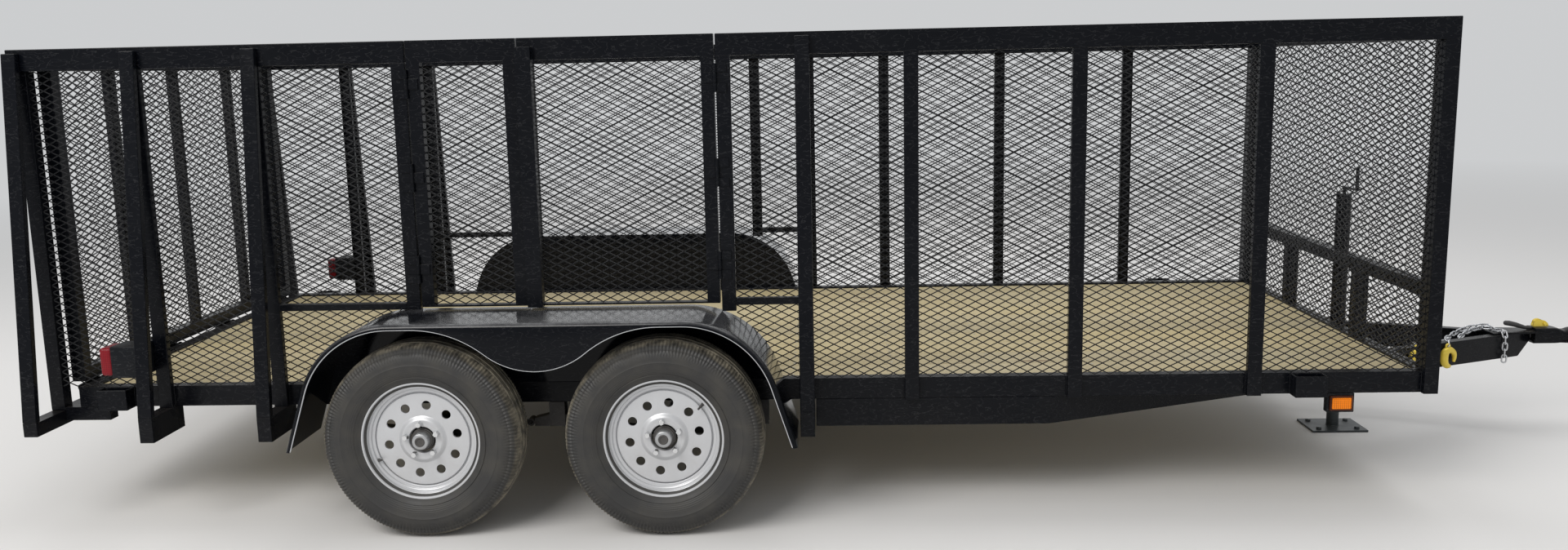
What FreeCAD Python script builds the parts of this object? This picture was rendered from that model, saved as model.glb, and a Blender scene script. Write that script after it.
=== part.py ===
import FreeCAD, Part
import math
import os
import Sketcher

# A tandem utility trailer with mesh walls. +X is forward to the coupler, +Y is the left side,
# +Z is up from the ground, and the origin is below the middle of the overall length.
# Positions along the trailer are measured from the middle of the deck.

# Name, millimetres or degrees, what it is.
SIZES = [
    ("deck_length", 4877, "frame rails, end to end"),
    ("deck_width", 1956, "over the frame rails"),
    ("rear_reach", 110.5, "rear cross tube behind the deck"),
    ("nose_reach", 1091.5, "coupler nose ahead of the deck"),
    ("rail_top", 484, "frame rail top above the ground"),
    ("rail_width", 50, "frame rail tube, across"),
    ("rail_height", 76, "frame rail tube, tall"),
    ("wall_height", 1220, "wall top above the rail top"),
    ("top_rail_height", 76, "top rail tube, tall"),
    ("top_rail_width", 50, "top rail tube, across"),
    ("post_width", 50, "posts and braces, along the trailer"),
    ("post_depth", 25, "posts and braces, across"),
    ("post_wall", 4, "thickness of the formed posts"),
    ("crossmember_count", 12, "deck crossmembers"),
    ("crossmember_width", 40, "crossmember channel, along"),
    ("crossmember_height", 30, "crossmember channel, tall"),
    ("crossmember_wall", 5, "crossmember channel, thickness"),
    ("board_count", 10, "deck boards"),
    ("board_thickness", 38, "deck boards"),
    ("board_gap", 3, "between deck boards"),
    ("mesh_thickness", 4, "expanded mesh sheets"),
    ("mesh_bar", 24, "bars between the openings that stand for the mesh"),
    ("mesh_rows", 4, "rows of openings in a sheet"),
    ("left_columns", 12, "columns of openings in the left wall"),
    ("rear_columns", 4, "columns of openings in the right wall, behind its gate"),
    ("front_columns", 6, "columns of openings in the right wall, ahead of its gate"),
    ("end_wall_columns", 5, "columns of openings in the front wall"),
    ("rear_gate_columns", 4, "columns of openings in the rear gate"),
    ("rear_leaf_columns", 1, "columns of openings in the side gate's rear leaf"),
    ("front_leaf_columns", 2, "columns of openings in the side gate's front leaf"),
    ("brace_reach", 175, "brace foot outboard of the rails"),
    ("brace_top_drop", 14, "brace end below the wall top"),
    ("outrigger_height", 89, "outriggers below the rails"),
    ("rear_tube_size", 51, "square rear cross tube"),
    ("rear_tube_drop", 12, "rear cross tube below the rails"),
    ("stub_height", 50, "stubs that carry the rear cross tube"),
    ("stub_length", 170, "stubs that carry the rear cross tube"),
    ("tail_share", 0.5607, "tail brace between the bay brace and the deck's rear, as a share"),
    ("station_bay", -1677, "brace behind the fender"),
    ("station_gate_rear", -1162.5, "rear post of the side gate"),
    ("station_gate_front", -35, "front post of the side gate"),
    ("station_fender", 237, "brace ahead of the fender"),
    ("station_mid", 608, "post"),
    ("station_tongue", 1180, "post"),
    ("fore_inset", 633.5, "foremost plain post behind the deck's front"),
    ("fender_rail_height", 25, "wall rail beside the fender"),
    ("axle_middle", -672, "halfway between the axles"),
    ("axle_spacing", 838, "between the axles"),
    ("tyre_radius", 344.5, "tyre outside radius"),
    ("tyre_width", 205, "tyre section width"),
    ("wheel_outboard", 189.5, "tyre centre plane outside the frame rails"),
    ("tyre_belly", 288, "widest part of the tyre's side from the axle"),
    ("tyre_shoulder", 24, "tread edge inside the tyre's side"),
    ("rim_radius", 190.5, "bead seat radius"),
    ("rim_flange", 208, "rim flange radius"),
    ("rim_half", 80, "rim centre plane to flange"),
    ("rim_wall", 5, "rim sheet thickness"),
    ("tyre_fit", 0.4, "between tyre and rim"),
    ("disc_face", 46, "disc face outside the rim centre plane"),
    ("disc_wall", 6, "disc thickness"),
    ("boss_radius", 79, "raised ring round the hub"),
    ("boss_height", 10, "raised ring ahead of the disc"),
    ("hand_hole_radius", 16, "round holes in the disc"),
    ("hand_hole_circle", 120, "radius of the circle of holes"),
    ("hand_hole_count", 10, "round holes in the disc"),
    ("hub_radius", 38, "hub barrel"),
    ("hub_back", 62, "hub behind the rim centre plane"),
    ("cap_radius", 29, "grease cap"),
    ("cap_front", 92, "grease cap ahead of the rim centre plane"),
    ("spindle_radius", 20, "axle spindle"),
    ("spindle_fit", 0.3, "between spindle and hub"),
    ("spindle_tip", 20, "spindle end inside the rim centre plane"),
    ("axle_radius", 30, "axle tube"),
    ("axle_end", 72, "axle tube end inside the rim centre plane"),
    ("rocker_half", 84.7, "half of the equalizer between the springs' eyes"),
    ("spring_width", 44, "leaf springs"),
    ("spring_thickness", 26, "leaf pack at the axle"),
    ("leaf_thickness", 9, "leaf pack at the eyes"),
    ("spring_rise", 30, "eyes above the leaf pack's middle"),
    ("eye_radius", 14, "spring eyes"),
    ("seat_height", 8, "spring seat under the axle"),
    ("seat_length", 80, "spring seat, along"),
    ("hanger_length", 56, "spring hanger, along"),
    ("hanger_wall", 6, "spring hanger plates"),
    ("hanger_depth", 90, "spring hanger below the rail"),
    ("rocker_top", 28.2, "half of the equalizer's raised top"),
    ("seat_gap", 0.3, "between pieces that seat"),
    ("cut_past", 1, "cutting tools past the face they cut"),
    ("fender_width", 312, "fender, across"),
    ("fender_top", 760, "fender top above the ground"),
    ("fender_bottom", 320, "fender ends above the ground"),
    ("fender_flat", 495, "half of the fender's level top"),
    ("fender_radius", 330, "fender shoulders"),
    ("fender_flare", 18, "fender ends off the vertical"),
    ("fender_wall", 3, "fender sheet"),
    ("skirt_lip", 16, "fender skirt over the wheels"),
    ("skirt_dip", 597, "skirt point between the wheels above the ground"),
    ("gate_depth", 50, "rear gate frame, along"),
    ("gate_back", 56.5, "rear gate's rear face behind the deck"),
    ("gate_clear", 10, "rear gate to the corner posts, each side"),
    ("gate_bottom", 6, "rear gate above the rail top"),
    ("gate_bar", 50, "rear gate bars"),
    ("gate_rib", 30, "rear gate inner uprights, along"),
    ("gate_rib_spacing", 490, "rear gate inner uprights apart"),
    ("gate_pin_drop", 19, "rear gate pin below the rail top"),
    ("gate_pin_radius", 8, "rear gate pin"),
    ("gate_barrel_radius", 13, "rear gate hinge barrels"),
    ("gate_barrel", 70, "rear gate's own barrel, long"),
    ("gate_barrel_fixed", 40, "fixed barrels, long"),
    ("hinge_fit", 0.4, "round a hinge pin"),
    ("knuckle_gap", 1, "between hinge barrels"),
    ("leaf_depth", 38, "side gate frames, across"),
    ("leaf_bar", 45, "side gate uprights"),
    ("leaf_foot", 6, "side gate bottom bars"),
    ("leaf_bottom", 8, "side gate above the fender"),
    ("leaf_gap", 6, "between the side gate's leaves and posts"),
    ("leaf_meeting", -747, "where the two leaves meet"),
    ("stile_width", 54, "cover bar on the front leaf"),
    ("stile_depth", 38, "cover bar on the front leaf"),
    ("stile_drop", 31, "cover bar below the wall top"),
    ("leaf_pin_radius", 4.5, "side gate hinge pins"),
    ("leaf_barrel_radius", 7, "side gate hinge barrels"),
    ("leaf_pin_out", 8, "side gate pins outside the wall face"),
    ("leaf_barrel", 36, "leaf's own barrel, tall"),
    ("leaf_barrel_fixed", 30, "fixed barrels, tall"),
    ("leaf_plate", 6, "hinge plates"),
    ("leaf_plate_length", 40, "hinge plates, along"),
    ("hinge_low", 905, "lowest side gate hinge above the ground"),
    ("hinge_step", 325, "between side gate hinges"),
    ("leaf_hinge_count", 3, "hinges on each leaf of the side gate"),
    ("front_mid_rail", 770, "front wall's middle rail above the ground"),
    ("front_upright", 370, "short front uprights from the centre"),
    ("tongue_start", 266, "tongue channels' rear end"),
    ("coupler_reach", 236.4, "coupler nose ahead of the tongue's apex"),
    ("tongue_angle", 24, "tongue channels off the centre line"),
    ("tongue_height", 100, "tongue channels, tall"),
    ("tongue_flange", 41, "tongue channels, across"),
    ("tongue_wall", 6, "tongue channels, thickness"),
    ("tongue_cut_length", 60, "slanted cut under the tongue's apex, along"),
    ("tongue_cut_height", 65, "slanted cut under the tongue's apex, tall"),
    ("plate_length", 190, "coupler plate behind the apex"),
    ("plate_thickness", 8, "coupler plate"),
    ("plate_front", 36, "coupler plate ahead of the apex"),
    ("nose_half", 38, "coupler nose half width"),
    ("nose_bottom", 359, "coupler nose above the ground"),
    ("nose_top", 430, "coupler nose top above the ground"),
    ("ball_radius", 25.8, "coupler socket for the ball"),
    ("ball_back", 60, "ball centre behind the nose"),
    ("ball_height", 384, "ball centre above the ground"),
    ("latch_length", 66, "coupler latch"),
    ("latch_height", 34, "coupler latch"),
    ("latch_width", 40, "coupler latch"),
    ("latch_back", 235, "latch rear end behind the nose"),
    ("latch_front_height", 17, "latch's front face, tall"),
    ("latch_rear_height", 23.8, "latch's rear face, tall"),
    ("latch_top_rear", 6.6, "latch's level top starts, from its rear"),
    ("latch_top_front", 39.6, "latch's level top ends, from its rear"),
    ("lever_length", 62, "coupler lever"),
    ("lever_back", 349, "lever rear end behind the nose"),
    ("lever_width", 24, "coupler lever"),
    ("lever_height", 22, "coupler lever grip"),
    ("jack_ahead", 47, "jack centre ahead of the deck"),
    ("jack_radius", 30, "jack outer tube"),
    ("jack_bore", 25.4, "jack outer tube, inside"),
    ("jack_leg_radius", 25, "jack inner tube"),
    ("jack_bottom", 130, "jack outer tube above the ground"),
    ("jack_top", 1010, "jack outer tube top above the ground"),
    ("jack_cap", 12, "jack tube's closed top"),
    ("jack_leg_top", 600, "jack inner tube top above the ground"),
    ("foot_length", 230, "jack foot, along"),
    ("foot_width", 190, "jack foot, across"),
    ("foot_thickness", 8, "jack foot"),
    ("bracket_width", 90, "jack bracket, across"),
    ("bracket_height", 60, "jack bracket, tall"),
    ("crank_radius", 7, "jack crank rod"),
    ("crank_arm", 130, "jack crank arm"),
    ("crank_grip", 90, "jack crank grip"),
    ("crank_neck", 24, "jack crank stem"),
    ("crank_flat", 8, "jack crank arm, tall"),
    ("pocket_length", 110, "stake pockets, along"),
    ("pocket_depth", 60, "stake pockets, across"),
    ("pocket_wall", 5, "stake pockets"),
    ("pocket_inset", 448.5, "front stake pockets behind the deck's front"),
    ("lamp_length", 114, "tail lamp box, along"),
    ("lamp_width", 110, "tail lamp box, across"),
    ("lamp_height", 114, "tail lamp box, tall"),
    ("lamp_bottom", 546, "tail lamp box above the ground"),
    ("lamp_inset", 7, "tail lamp box behind the post face"),
    ("lens_depth", 32, "tail lens, along"),
    ("lens_margin", 6, "tail lens inside its box"),
    ("marker_inset", 323.5, "marker lamps behind the deck's front"),
    ("marker_length", 96, "marker lamp housing, along"),
    ("marker_height", 70, "marker lamp housing, tall"),
    ("marker_depth", 30, "marker lamp housing, across"),
    ("marker_lens_depth", 15, "marker lens, across"),
    ("marker_margin", 8, "marker lens inside its housing"),
    ("link_length", 40, "chain links, outside"),
    ("link_width", 24, "chain links, outside"),
    ("link_wire", 7, "chain links"),
    ("link_slack", 0.6, "play between chain links"),
    ("link_count", 6, "links that hang"),
    ("chain_back", 110, "chain behind the tongue's apex"),
    ("tab_length", 30, "chain tab, along"),
    ("tab_reach", 26, "chain tab outside the channel"),
]

DOC = FreeCAD.newDocument("utility_trailer")
SHEET = DOC.addObject("Spreadsheet::Sheet", "Sizes")
NODES = []
SIDES = (("right", -1), ("left", 1))


class Size:
    """A length or an angle: its number and the sheet expression that gives it."""

    def __init__(self, number, text):
        self.number = float(number)
        self.text = text

    def __add__(self, other):
        other = as_size(other)
        return Size(self.number + other.number, f"({self.text} + {other.text})")

    def __sub__(self, other):
        other = as_size(other)
        return Size(self.number - other.number, f"({self.text} - {other.text})")

    def __mul__(self, other):
        other = as_size(other)
        return Size(self.number * other.number, f"({self.text} * {other.text})")

    def __truediv__(self, other):
        other = as_size(other)
        return Size(self.number / other.number, f"({self.text} / {other.text})")

    def __radd__(self, other):
        return as_size(other) + self

    def __rsub__(self, other):
        return as_size(other) - self

    def __rmul__(self, other):
        return as_size(other) * self

    def __neg__(self):
        return as_size(0) - self


def as_size(value):
    """The value as a Size, so that plain numbers mix with sheet sizes."""
    if isinstance(value, Size):
        return value
    return Size(value, f"({float(value)})")


def sine(angle):
    return Size(math.sin(math.radians(angle.number)), f"sin({angle.text})")


def cosine(angle):
    return Size(math.cos(math.radians(angle.number)), f"cos({angle.text})")


def tangent(angle):
    return Size(math.tan(math.radians(angle.number)), f"tan({angle.text})")


def square_root(value):
    return Size(math.sqrt(value.number), f"sqrt({value.text})")


class SheetSizes:
    """Reads each named cell of the sheet as a Size."""

    def __getattr__(self, name):
        return Size(float(SHEET.get(name)), f"Sizes.{name}")


S = SheetSizes()


def fill_sheet():
    for row, (name, value, note) in enumerate(SIZES, start=1):
        SHEET.set(f"A{row}", note)
        SHEET.set(f"B{row}", str(value))
        SHEET.setAlias(f"B{row}", name)
    DOC.recompute()


def bind(item, prop, value):
    """Tie a property to the sheet expression of a size."""
    item.setExpression(prop, as_size(value).text)


def put(item, x, y, z):
    bind(item, "Placement.Base.x", x)
    bind(item, "Placement.Base.y", y)
    bind(item, "Placement.Base.z", z)


def block(name, across_x, across_y, across_z):
    """A box from its low and high limits along X, Y and Z."""
    item = DOC.addObject("Part::Box", name)
    spans = zip(("Length", "Width", "Height"), (across_x, across_y, across_z))
    for prop, (low, high) in spans:
        bind(item, prop, as_size(high) - as_size(low))
    put(item, across_x[0], across_y[0], across_z[0])
    return item


AXIS_TURNS = {
    "x": FreeCAD.Rotation(FreeCAD.Vector(0, 1, 0), 90),
    "y": FreeCAD.Rotation(FreeCAD.Vector(1, 0, 0), -90),
    "z": FreeCAD.Rotation(),
}


def rod(name, axis, start, radius, length):
    """A round bar that starts at a point and runs along +X, +Y or +Z."""
    item = DOC.addObject("Part::Cylinder", name)
    bind(item, "Radius", radius)
    bind(item, "Height", length)
    item.Placement = FreeCAD.Placement(FreeCAD.Vector(), AXIS_TURNS[axis])
    put(item, *start)
    return item


def cut(name, base, tool):
    item = DOC.addObject("Part::Cut", name)
    item.Base = base
    item.Tool = tool
    return item


def fuse(name, pieces):
    item = DOC.addObject("Part::MultiFuse", name)
    item.Shapes = pieces
    item.Refine = True
    return item


def gather(name, pieces):
    """Separate solids of one kind as one item."""
    item = DOC.addObject("Part::Compound", name)
    item.Links = pieces
    return item


def node(label, item):
    """Name an item as one sub-part of the trailer."""
    item.Label = label
    NODES.append(item)


def side_span(sign, inner, outer):
    """Low and high Y of a piece between two distances from the centre line."""
    if sign > 0:
        return inner, outer
    return -as_size(outer), -as_size(inner)


def arc_centre(first, last, radius, turn):
    """Centre of the arc from first to last; turn is 1 anticlockwise and -1 clockwise."""
    middle = (first + last) / 2
    chord = last - first
    rise = math.sqrt(max(radius ** 2 - (chord.Length / 2) ** 2, 0.0))
    left = FreeCAD.Vector(-chord.y, chord.x, 0).normalize()
    return middle + left * (rise * turn)


def add_edge(sketch, first, last, bend):
    """A line, or an arc where a bend gives radius and turn; returns its end vertices."""
    if bend is None:
        sketch.addGeometry(Part.LineSegment(first, last))
        return 1, 2
    radius, turn = bend
    centre = arc_centre(first, last, as_size(radius).number, turn)
    circle = Part.Circle(centre, FreeCAD.Vector(0, 0, 1), as_size(radius).number)
    start, end = (first, last) if turn > 0 else (last, first)
    angles = [math.atan2(p.y - centre.y, p.x - centre.x) for p in (start, end)]
    sketch.addGeometry(Part.ArcOfCircle(circle, angles[0], angles[1]))
    return (1, 2) if turn > 0 else (2, 1)


def hold(sketch, kind, edge, vertex, value):
    """Fix one coordinate of a sketch vertex to a size."""
    size = as_size(value)
    if abs(size.number) < 1e-9:
        axis = -2 if kind == "DistanceX" else -1
        sketch.addConstraint(Sketcher.Constraint("PointOnObject", edge, vertex, axis))
        return
    index = sketch.addConstraint(Sketcher.Constraint(kind, -1, 1, edge, vertex, size.number))
    sketch.setExpression(f"Constraints[{index}]", size.text)


def hold_arc(sketch, edge, point, chord):
    """Fix an arc by its radius, or a half circle by its centre's place along its chord's normal."""
    radius = as_size(point[2])
    if abs(chord.Length - 2 * radius.number) > 1e-6:
        index = sketch.addConstraint(Sketcher.Constraint("Radius", edge, radius.number))
        sketch.setExpression(f"Constraints[{index}]", radius.text)
    elif abs(chord.x) < abs(chord.y):
        hold(sketch, "DistanceX", edge, 3, point[0])
    else:
        hold(sketch, "DistanceY", edge, 3, point[1])


def outline(body, plane, points):
    """A closed sketch; each point is (across, up) or (across, up, radius, turn) before an arc."""
    sketch = body.newObject("Sketcher::SketchObject", body.Name + "_outline")
    face = [item for item in body.Origin.OriginFeatures if item.Role == plane][0]
    sketch.AttachmentSupport = [(face, "")]
    sketch.MapMode = "FlatFace"
    places = [FreeCAD.Vector(as_size(p[0]).number, as_size(p[1]).number, 0) for p in points]
    ends = []
    for index, point in enumerate(points):
        bend = point[2:4] if len(point) > 2 else None
        ends.append(add_edge(sketch, places[index], places[(index + 1) % len(points)], bend))
    for index, point in enumerate(points):
        before = index - 1 if index else len(points) - 1
        sketch.addConstraint(Sketcher.Constraint("Coincident", before, ends[before][1], index, ends[index][0]))
        hold(sketch, "DistanceX", index, ends[index][0], point[0])
        hold(sketch, "DistanceY", index, ends[index][0], point[1])
        if len(point) > 2:
            hold_arc(sketch, index, point, places[(index + 1) % len(points)] - places[index])
    return sketch


def prism(name, plane, points, length, place):
    """A body padded from an outline, along +Z, +Y or +X from its place."""
    body = DOC.addObject("PartDesign::Body", name)
    sketch = outline(body, plane, points)
    pad = body.newObject("PartDesign::Pad", name + "_pad")
    pad.Profile = sketch
    pad.Reversed = plane == "XZ_Plane"
    bind(pad, "Length", length)
    put(body, *place)
    return body


def deck_middle():
    return (S.rear_reach - S.nose_reach) / 2


def along(distance):
    """X of a distance from the middle of the deck."""
    return deck_middle() + distance


def deck_rear():
    return along(-S.deck_length / 2)


def deck_front():
    return along(S.deck_length / 2)


def rail_bottom():
    return S.rail_top - S.rail_height


def wall_top():
    return S.rail_top + S.wall_height


def top_rail_bottom():
    return wall_top() - S.top_rail_height


def half_width():
    return S.deck_width / 2


def inner_width():
    """Centre line to the inner face of a frame rail."""
    return half_width() - S.rail_width


def wall_face():
    """Centre line to the outer face of the posts and top rails."""
    return half_width() + S.post_depth


def station_tail():
    """Brace ahead of the tail lamps."""
    return S.station_bay - S.tail_share * (S.deck_length / 2 + S.station_bay)


def brace_stations():
    return (station_tail(), S.station_bay, S.station_fender)


def around(middle, width):
    return along(middle - width / 2), along(middle + width / 2)


def make_frame_rails():
    rails = []
    for side, sign in SIDES:
        span = side_span(sign, inner_width(), half_width())
        rails.append(block(f"rail_{side}", (deck_rear(), deck_front()), span, (rail_bottom(), S.rail_top)))
    node("frame_rails", gather("rails", rails))


def make_end_rails():
    across = (-inner_width(), inner_width())
    tall = (rail_bottom(), S.rail_top)
    front = block("front_rail", (deck_front() - S.rail_width, deck_front()), across, tall)
    rear = block("rear_rail", (deck_rear(), deck_rear() + S.rail_width), across, tall)
    node("end_rails", gather("both_end_rails", [front, rear]))


def make_crossmembers():
    """Channels across the frame, open to the rear, that the boards lie on."""
    count = int(S.crossmember_count.number)
    pitch = (S.deck_length - 2 * S.rail_width) / (S.crossmember_count + 1)
    low, high = rail_bottom(), rail_bottom() + S.crossmember_height
    pieces = []
    for number in range(count):
        middle = deck_rear() + S.rail_width + pitch * (number + 1)
        back, front = middle - S.crossmember_width / 2, middle + S.crossmember_width / 2
        whole = block(f"cross_whole_{number}", (back, front), (-inner_width(), inner_width()), (low, high))
        wall = S.crossmember_wall
        hollow = block(f"cross_hollow_{number}", (back - wall, front - wall),
                       (-inner_width() - wall, inner_width() + wall), (low + wall, high - wall))
        pieces.append(cut(f"cross_{number}", whole, hollow))
    node("crossmembers", gather("all_crossmembers", pieces))


def deck_board_width():
    return (2 * inner_width() - S.board_gap * (S.board_count + 1)) / S.board_count


def make_deck_boards():
    base = rail_bottom() + S.crossmember_height
    ends = (deck_rear() + S.rail_width + S.seat_gap, deck_front() - S.rail_width - S.seat_gap)
    boards = []
    for number in range(int(S.board_count.number)):
        low = -inner_width() + S.board_gap + (deck_board_width() + S.board_gap) * number
        boards.append(block(f"board_{number}", ends, (low, low + deck_board_width()),
                            (base, base + S.board_thickness)))
    node("deck_boards", gather("boards", boards))


def make_outriggers():
    """Stubs under the rails that carry the braces' feet, and those of the rear cross tube."""
    reach = half_width() + S.brace_reach
    pieces = []
    for side, sign in SIDES:
        for number, station in enumerate(brace_stations()):
            pieces.append(block(f"outrigger_{side}_{number}", around(station, S.post_width),
                                side_span(sign, inner_width(), reach),
                                (rail_bottom() - S.outrigger_height, rail_bottom())))
        rear = deck_rear() - S.rear_reach + S.rear_tube_size
        pieces.append(block(f"stub_{side}", (rear, rear + S.stub_length),
                            side_span(sign, inner_width(), half_width()),
                            (rail_bottom() - S.stub_height, rail_bottom())))
    node("outriggers", gather("all_outriggers", pieces))


def rear_tube_top():
    return rail_bottom() - S.rear_tube_drop


def rear_tube_span():
    rear = deck_rear() - S.rear_reach
    return rear, rear + S.rear_tube_size


def make_rear_cross_tube():
    reach = half_width() + S.brace_reach
    tube = block("rear_tube", rear_tube_span(), (-reach, reach),
                 (rear_tube_top() - S.rear_tube_size, rear_tube_top()))
    node("rear_cross_tube", tube)


def formed_post(name, station, sign, low, high):
    """A channel post with its open side towards the load."""
    outer = block(name + "_whole", around(station, S.post_width),
                  side_span(sign, half_width(), wall_face()), (low, high))
    wall = S.post_wall
    hollow = block(name + "_hollow", around(station, S.post_width - 2 * wall),
                   side_span(sign, half_width() - wall, wall_face() - wall), (low - wall, high + wall))
    return cut(name, outer, hollow)


def post_table():
    """Station and foot height of each post on one side."""
    floor = rail_bottom()
    shoulder = S.fender_radius - square_root(
        S.fender_radius * S.fender_radius - front_post_run() * front_post_run())
    return (
        (station_tail(), floor),
        (S.station_bay, floor),
        (S.station_gate_rear, S.fender_top),
        (S.station_gate_front, S.fender_top - shoulder + S.seat_gap),
        (S.station_fender, floor),
        (S.station_mid, floor),
        (S.station_tongue, floor),
        (S.deck_length / 2 - S.fore_inset, floor),
        (S.deck_length / 2 - S.post_width / 2, floor),
    )


def front_post_run():
    """Front gate post's rear edge past the fender's level top."""
    return S.station_gate_front - S.post_width / 2 - S.axle_middle - S.fender_flat


def make_side_posts():
    pieces = []
    for side, sign in SIDES:
        for number, (station, foot) in enumerate(post_table()):
            pieces.append(formed_post(f"post_{side}_{number}", station, sign, foot, top_rail_bottom()))
        pieces.append(block(f"corner_{side}", rear_tube_span(),
                            side_span(sign, inner_width(), half_width()), (rear_tube_top(), top_rail_bottom())))
    node("side_posts", gather("all_posts", pieces))


def brace(name, sign, start, foot):
    """A bar that leans in from its foot to the top rail's outer face."""
    top = wall_top() - S.brace_top_drop
    reach = half_width() + S.brace_reach
    points = [
        (reach * sign, foot),
        (wall_face() * sign + S.post_depth * sign, top),
        (wall_face() * sign, top),
        (reach * sign - S.post_depth * sign, foot),
    ]
    return prism(name, "YZ_Plane", points, S.post_width, (start, 0, 0))


def make_braces():
    pieces = []
    for side, sign in SIDES:
        for number, station in enumerate(brace_stations()):
            start = around(station, S.post_width)[0]
            pieces.append(brace(f"brace_{side}_{number}", sign, start, rail_bottom()))
        pieces.append(brace(f"brace_{side}_rear", sign, rear_tube_span()[0], rear_tube_top()))
    node("braces", gather("all_braces", pieces))


def gate_post_edges():
    """Faces of the side gate's two posts that look at the leaves."""
    return (along(S.station_gate_rear + S.post_width / 2), along(S.station_gate_front - S.post_width / 2))


def make_top_rails():
    inner = wall_face() - S.top_rail_width
    tall = (top_rail_bottom(), wall_top())
    rear, front = rear_tube_span()[0], deck_front()
    gap_rear, gap_front = gate_post_edges()
    pieces = [
        block("top_right_rear", (rear, gap_rear), side_span(-1, inner, wall_face()), tall),
        block("top_right_front", (gap_front, front), side_span(-1, inner, wall_face()), tall),
        block("top_left", (rear, front), side_span(1, inner, wall_face()), tall),
    ]
    node("top_rails", gather("all_top_rails", pieces))


def make_fender_rails():
    """Short wall rails behind and ahead of the side gate, just over the fender."""
    half = S.post_width / 2
    bays = (
        (S.station_bay + half, S.station_gate_rear - half),
        (S.station_gate_front + half, S.station_fender - half),
    )
    pieces = []
    for side, sign in SIDES:
        for number, (rear, front) in enumerate(bays):
            pieces.append(block(f"bay_rail_{side}_{number}", (along(rear), along(front)),
                                side_span(sign, half_width(), wall_face()),
                                (S.fender_top, S.fender_top + S.fender_rail_height)))
    node("fender_rails", gather("all_fender_rails", pieces))


def mesh_inner():
    """Centre line to the outer face of the side mesh, behind the wheel-well plates."""
    return half_width() - S.mesh_thickness


def mesh_sheet(name, run, through, tall, columns, across=False):
    """A mesh sheet with a plain grid of openings, along the trailer or across it."""
    low, high = as_size(run[0]), as_size(run[1])
    bottom, top = as_size(tall[0]), as_size(tall[1])
    bar = S.mesh_bar
    pitch = (high - low - bar) / columns
    rise = (top - bottom - bar) / S.mesh_rows
    past = (as_size(through[0]) - S.cut_past, as_size(through[1]) + S.cut_past)
    openings = []
    for column in range(int(columns.number)):
        start = low + bar + pitch * column
        for row in range(int(S.mesh_rows.number)):
            floor = bottom + bar + rise * row
            spans = [(start, start + pitch - bar), past, (floor, floor + rise - bar)]
            if across:
                spans[0], spans[1] = spans[1], spans[0]
            openings.append(block(f"{name}_opening_{column}_{row}", *spans))
    spans = (through, run, tall) if across else (run, through, tall)
    return cut(name, block(name + "_whole", *spans), gather(name + "_openings", openings))


def make_side_mesh():
    """Expanded mesh behind the posts, as thin sheets."""
    rear = rear_tube_span()[1]
    front = deck_front() - S.post_width
    half = S.post_width / 2
    sheets = (
        ("right_rear", -1, rear, along(S.station_gate_rear - half), S.rear_columns),
        ("right_front", -1, along(S.station_gate_front + half), front, S.front_columns),
        ("left", 1, rear, front, S.left_columns),
    )
    pieces = []
    for name, sign, start, end, columns in sheets:
        pieces.append(mesh_sheet(f"mesh_{name}", (start, end),
                                 side_span(sign, mesh_inner() - S.mesh_thickness, mesh_inner()),
                                 (S.rail_top, top_rail_bottom()), columns))
    node("side_mesh", gather("all_side_mesh", pieces))


def front_wall_span():
    return deck_front() - S.post_width, deck_front()


def make_front_wall():
    """Corner uprights, middle rail, top rail and short uprights of the front wall."""
    span = front_wall_span()
    mid_low = S.front_mid_rail - S.post_width / 2
    pieces = [
        block("front_mid", span, (-inner_width(), inner_width()), (mid_low, mid_low + S.post_width)),
        block("front_top", span, (-(wall_face() - S.top_rail_width), wall_face() - S.top_rail_width),
              (top_rail_bottom(), wall_top())),
    ]
    for side, sign in SIDES:
        pieces.append(block(f"front_corner_{side}", span, side_span(sign, inner_width(), half_width()),
                            (S.rail_top, top_rail_bottom())))
        middle = S.front_upright * sign
        pieces.append(block(f"front_short_{side}", span,
                            (middle - S.post_width / 2, middle + S.post_width / 2), (S.rail_top, mid_low)))
    node("front_wall_frame", fuse("front_wall", pieces))


def make_front_mesh():
    face = front_wall_span()[0]
    half = inner_width() + S.rail_width / 2
    node("front_mesh", mesh_sheet("front_sheet", (-half, half), (face - S.mesh_thickness, face),
                                  (S.rail_top, top_rail_bottom()), S.end_wall_columns, across=True))


def fender_points(inset, foot):
    """The fender's outline, set in by a distance, from its front foot over the top to the rear."""
    radius = S.fender_radius - inset
    flare = S.fender_flare
    shoulder_x = S.fender_flat + radius * cosine(flare)
    shoulder_z = S.fender_top - S.fender_radius + radius * sine(flare)
    foot_x = shoulder_x + (shoulder_z - foot) * tangent(flare)
    top = S.fender_top - inset
    return [
        (-foot_x, foot),
        (-shoulder_x, shoulder_z, radius, -1),
        (-S.fender_flat, top),
        (S.fender_flat, top, radius, -1),
        (shoulder_x, shoulder_z),
        (foot_x, foot),
    ]


def skirt_points():
    """The skirt's opening: round each wheel, with a point that dips between the wheels."""
    lip = S.skirt_lip
    ends = fender_points(lip, S.fender_bottom - lip)
    half = S.axle_spacing / 2
    top = S.fender_top - lip
    arch = top - S.tyre_radius
    drop = S.skirt_dip - S.tyre_radius
    dip = (half * half + drop * drop - arch * arch) / (2 * (arch - drop))
    share = arch / (arch + dip)
    turn_x = half - half * share
    turn_z = S.tyre_radius + (drop + dip) * share
    return [
        ends[0],
        ends[1],
        ends[2],
        (-half, top, arch, -1),
        (-turn_x, turn_z, dip, 1),
        (turn_x, turn_z, arch, -1),
        (half, top),
        ends[3],
        ends[4],
        ends[5],
    ]


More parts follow.
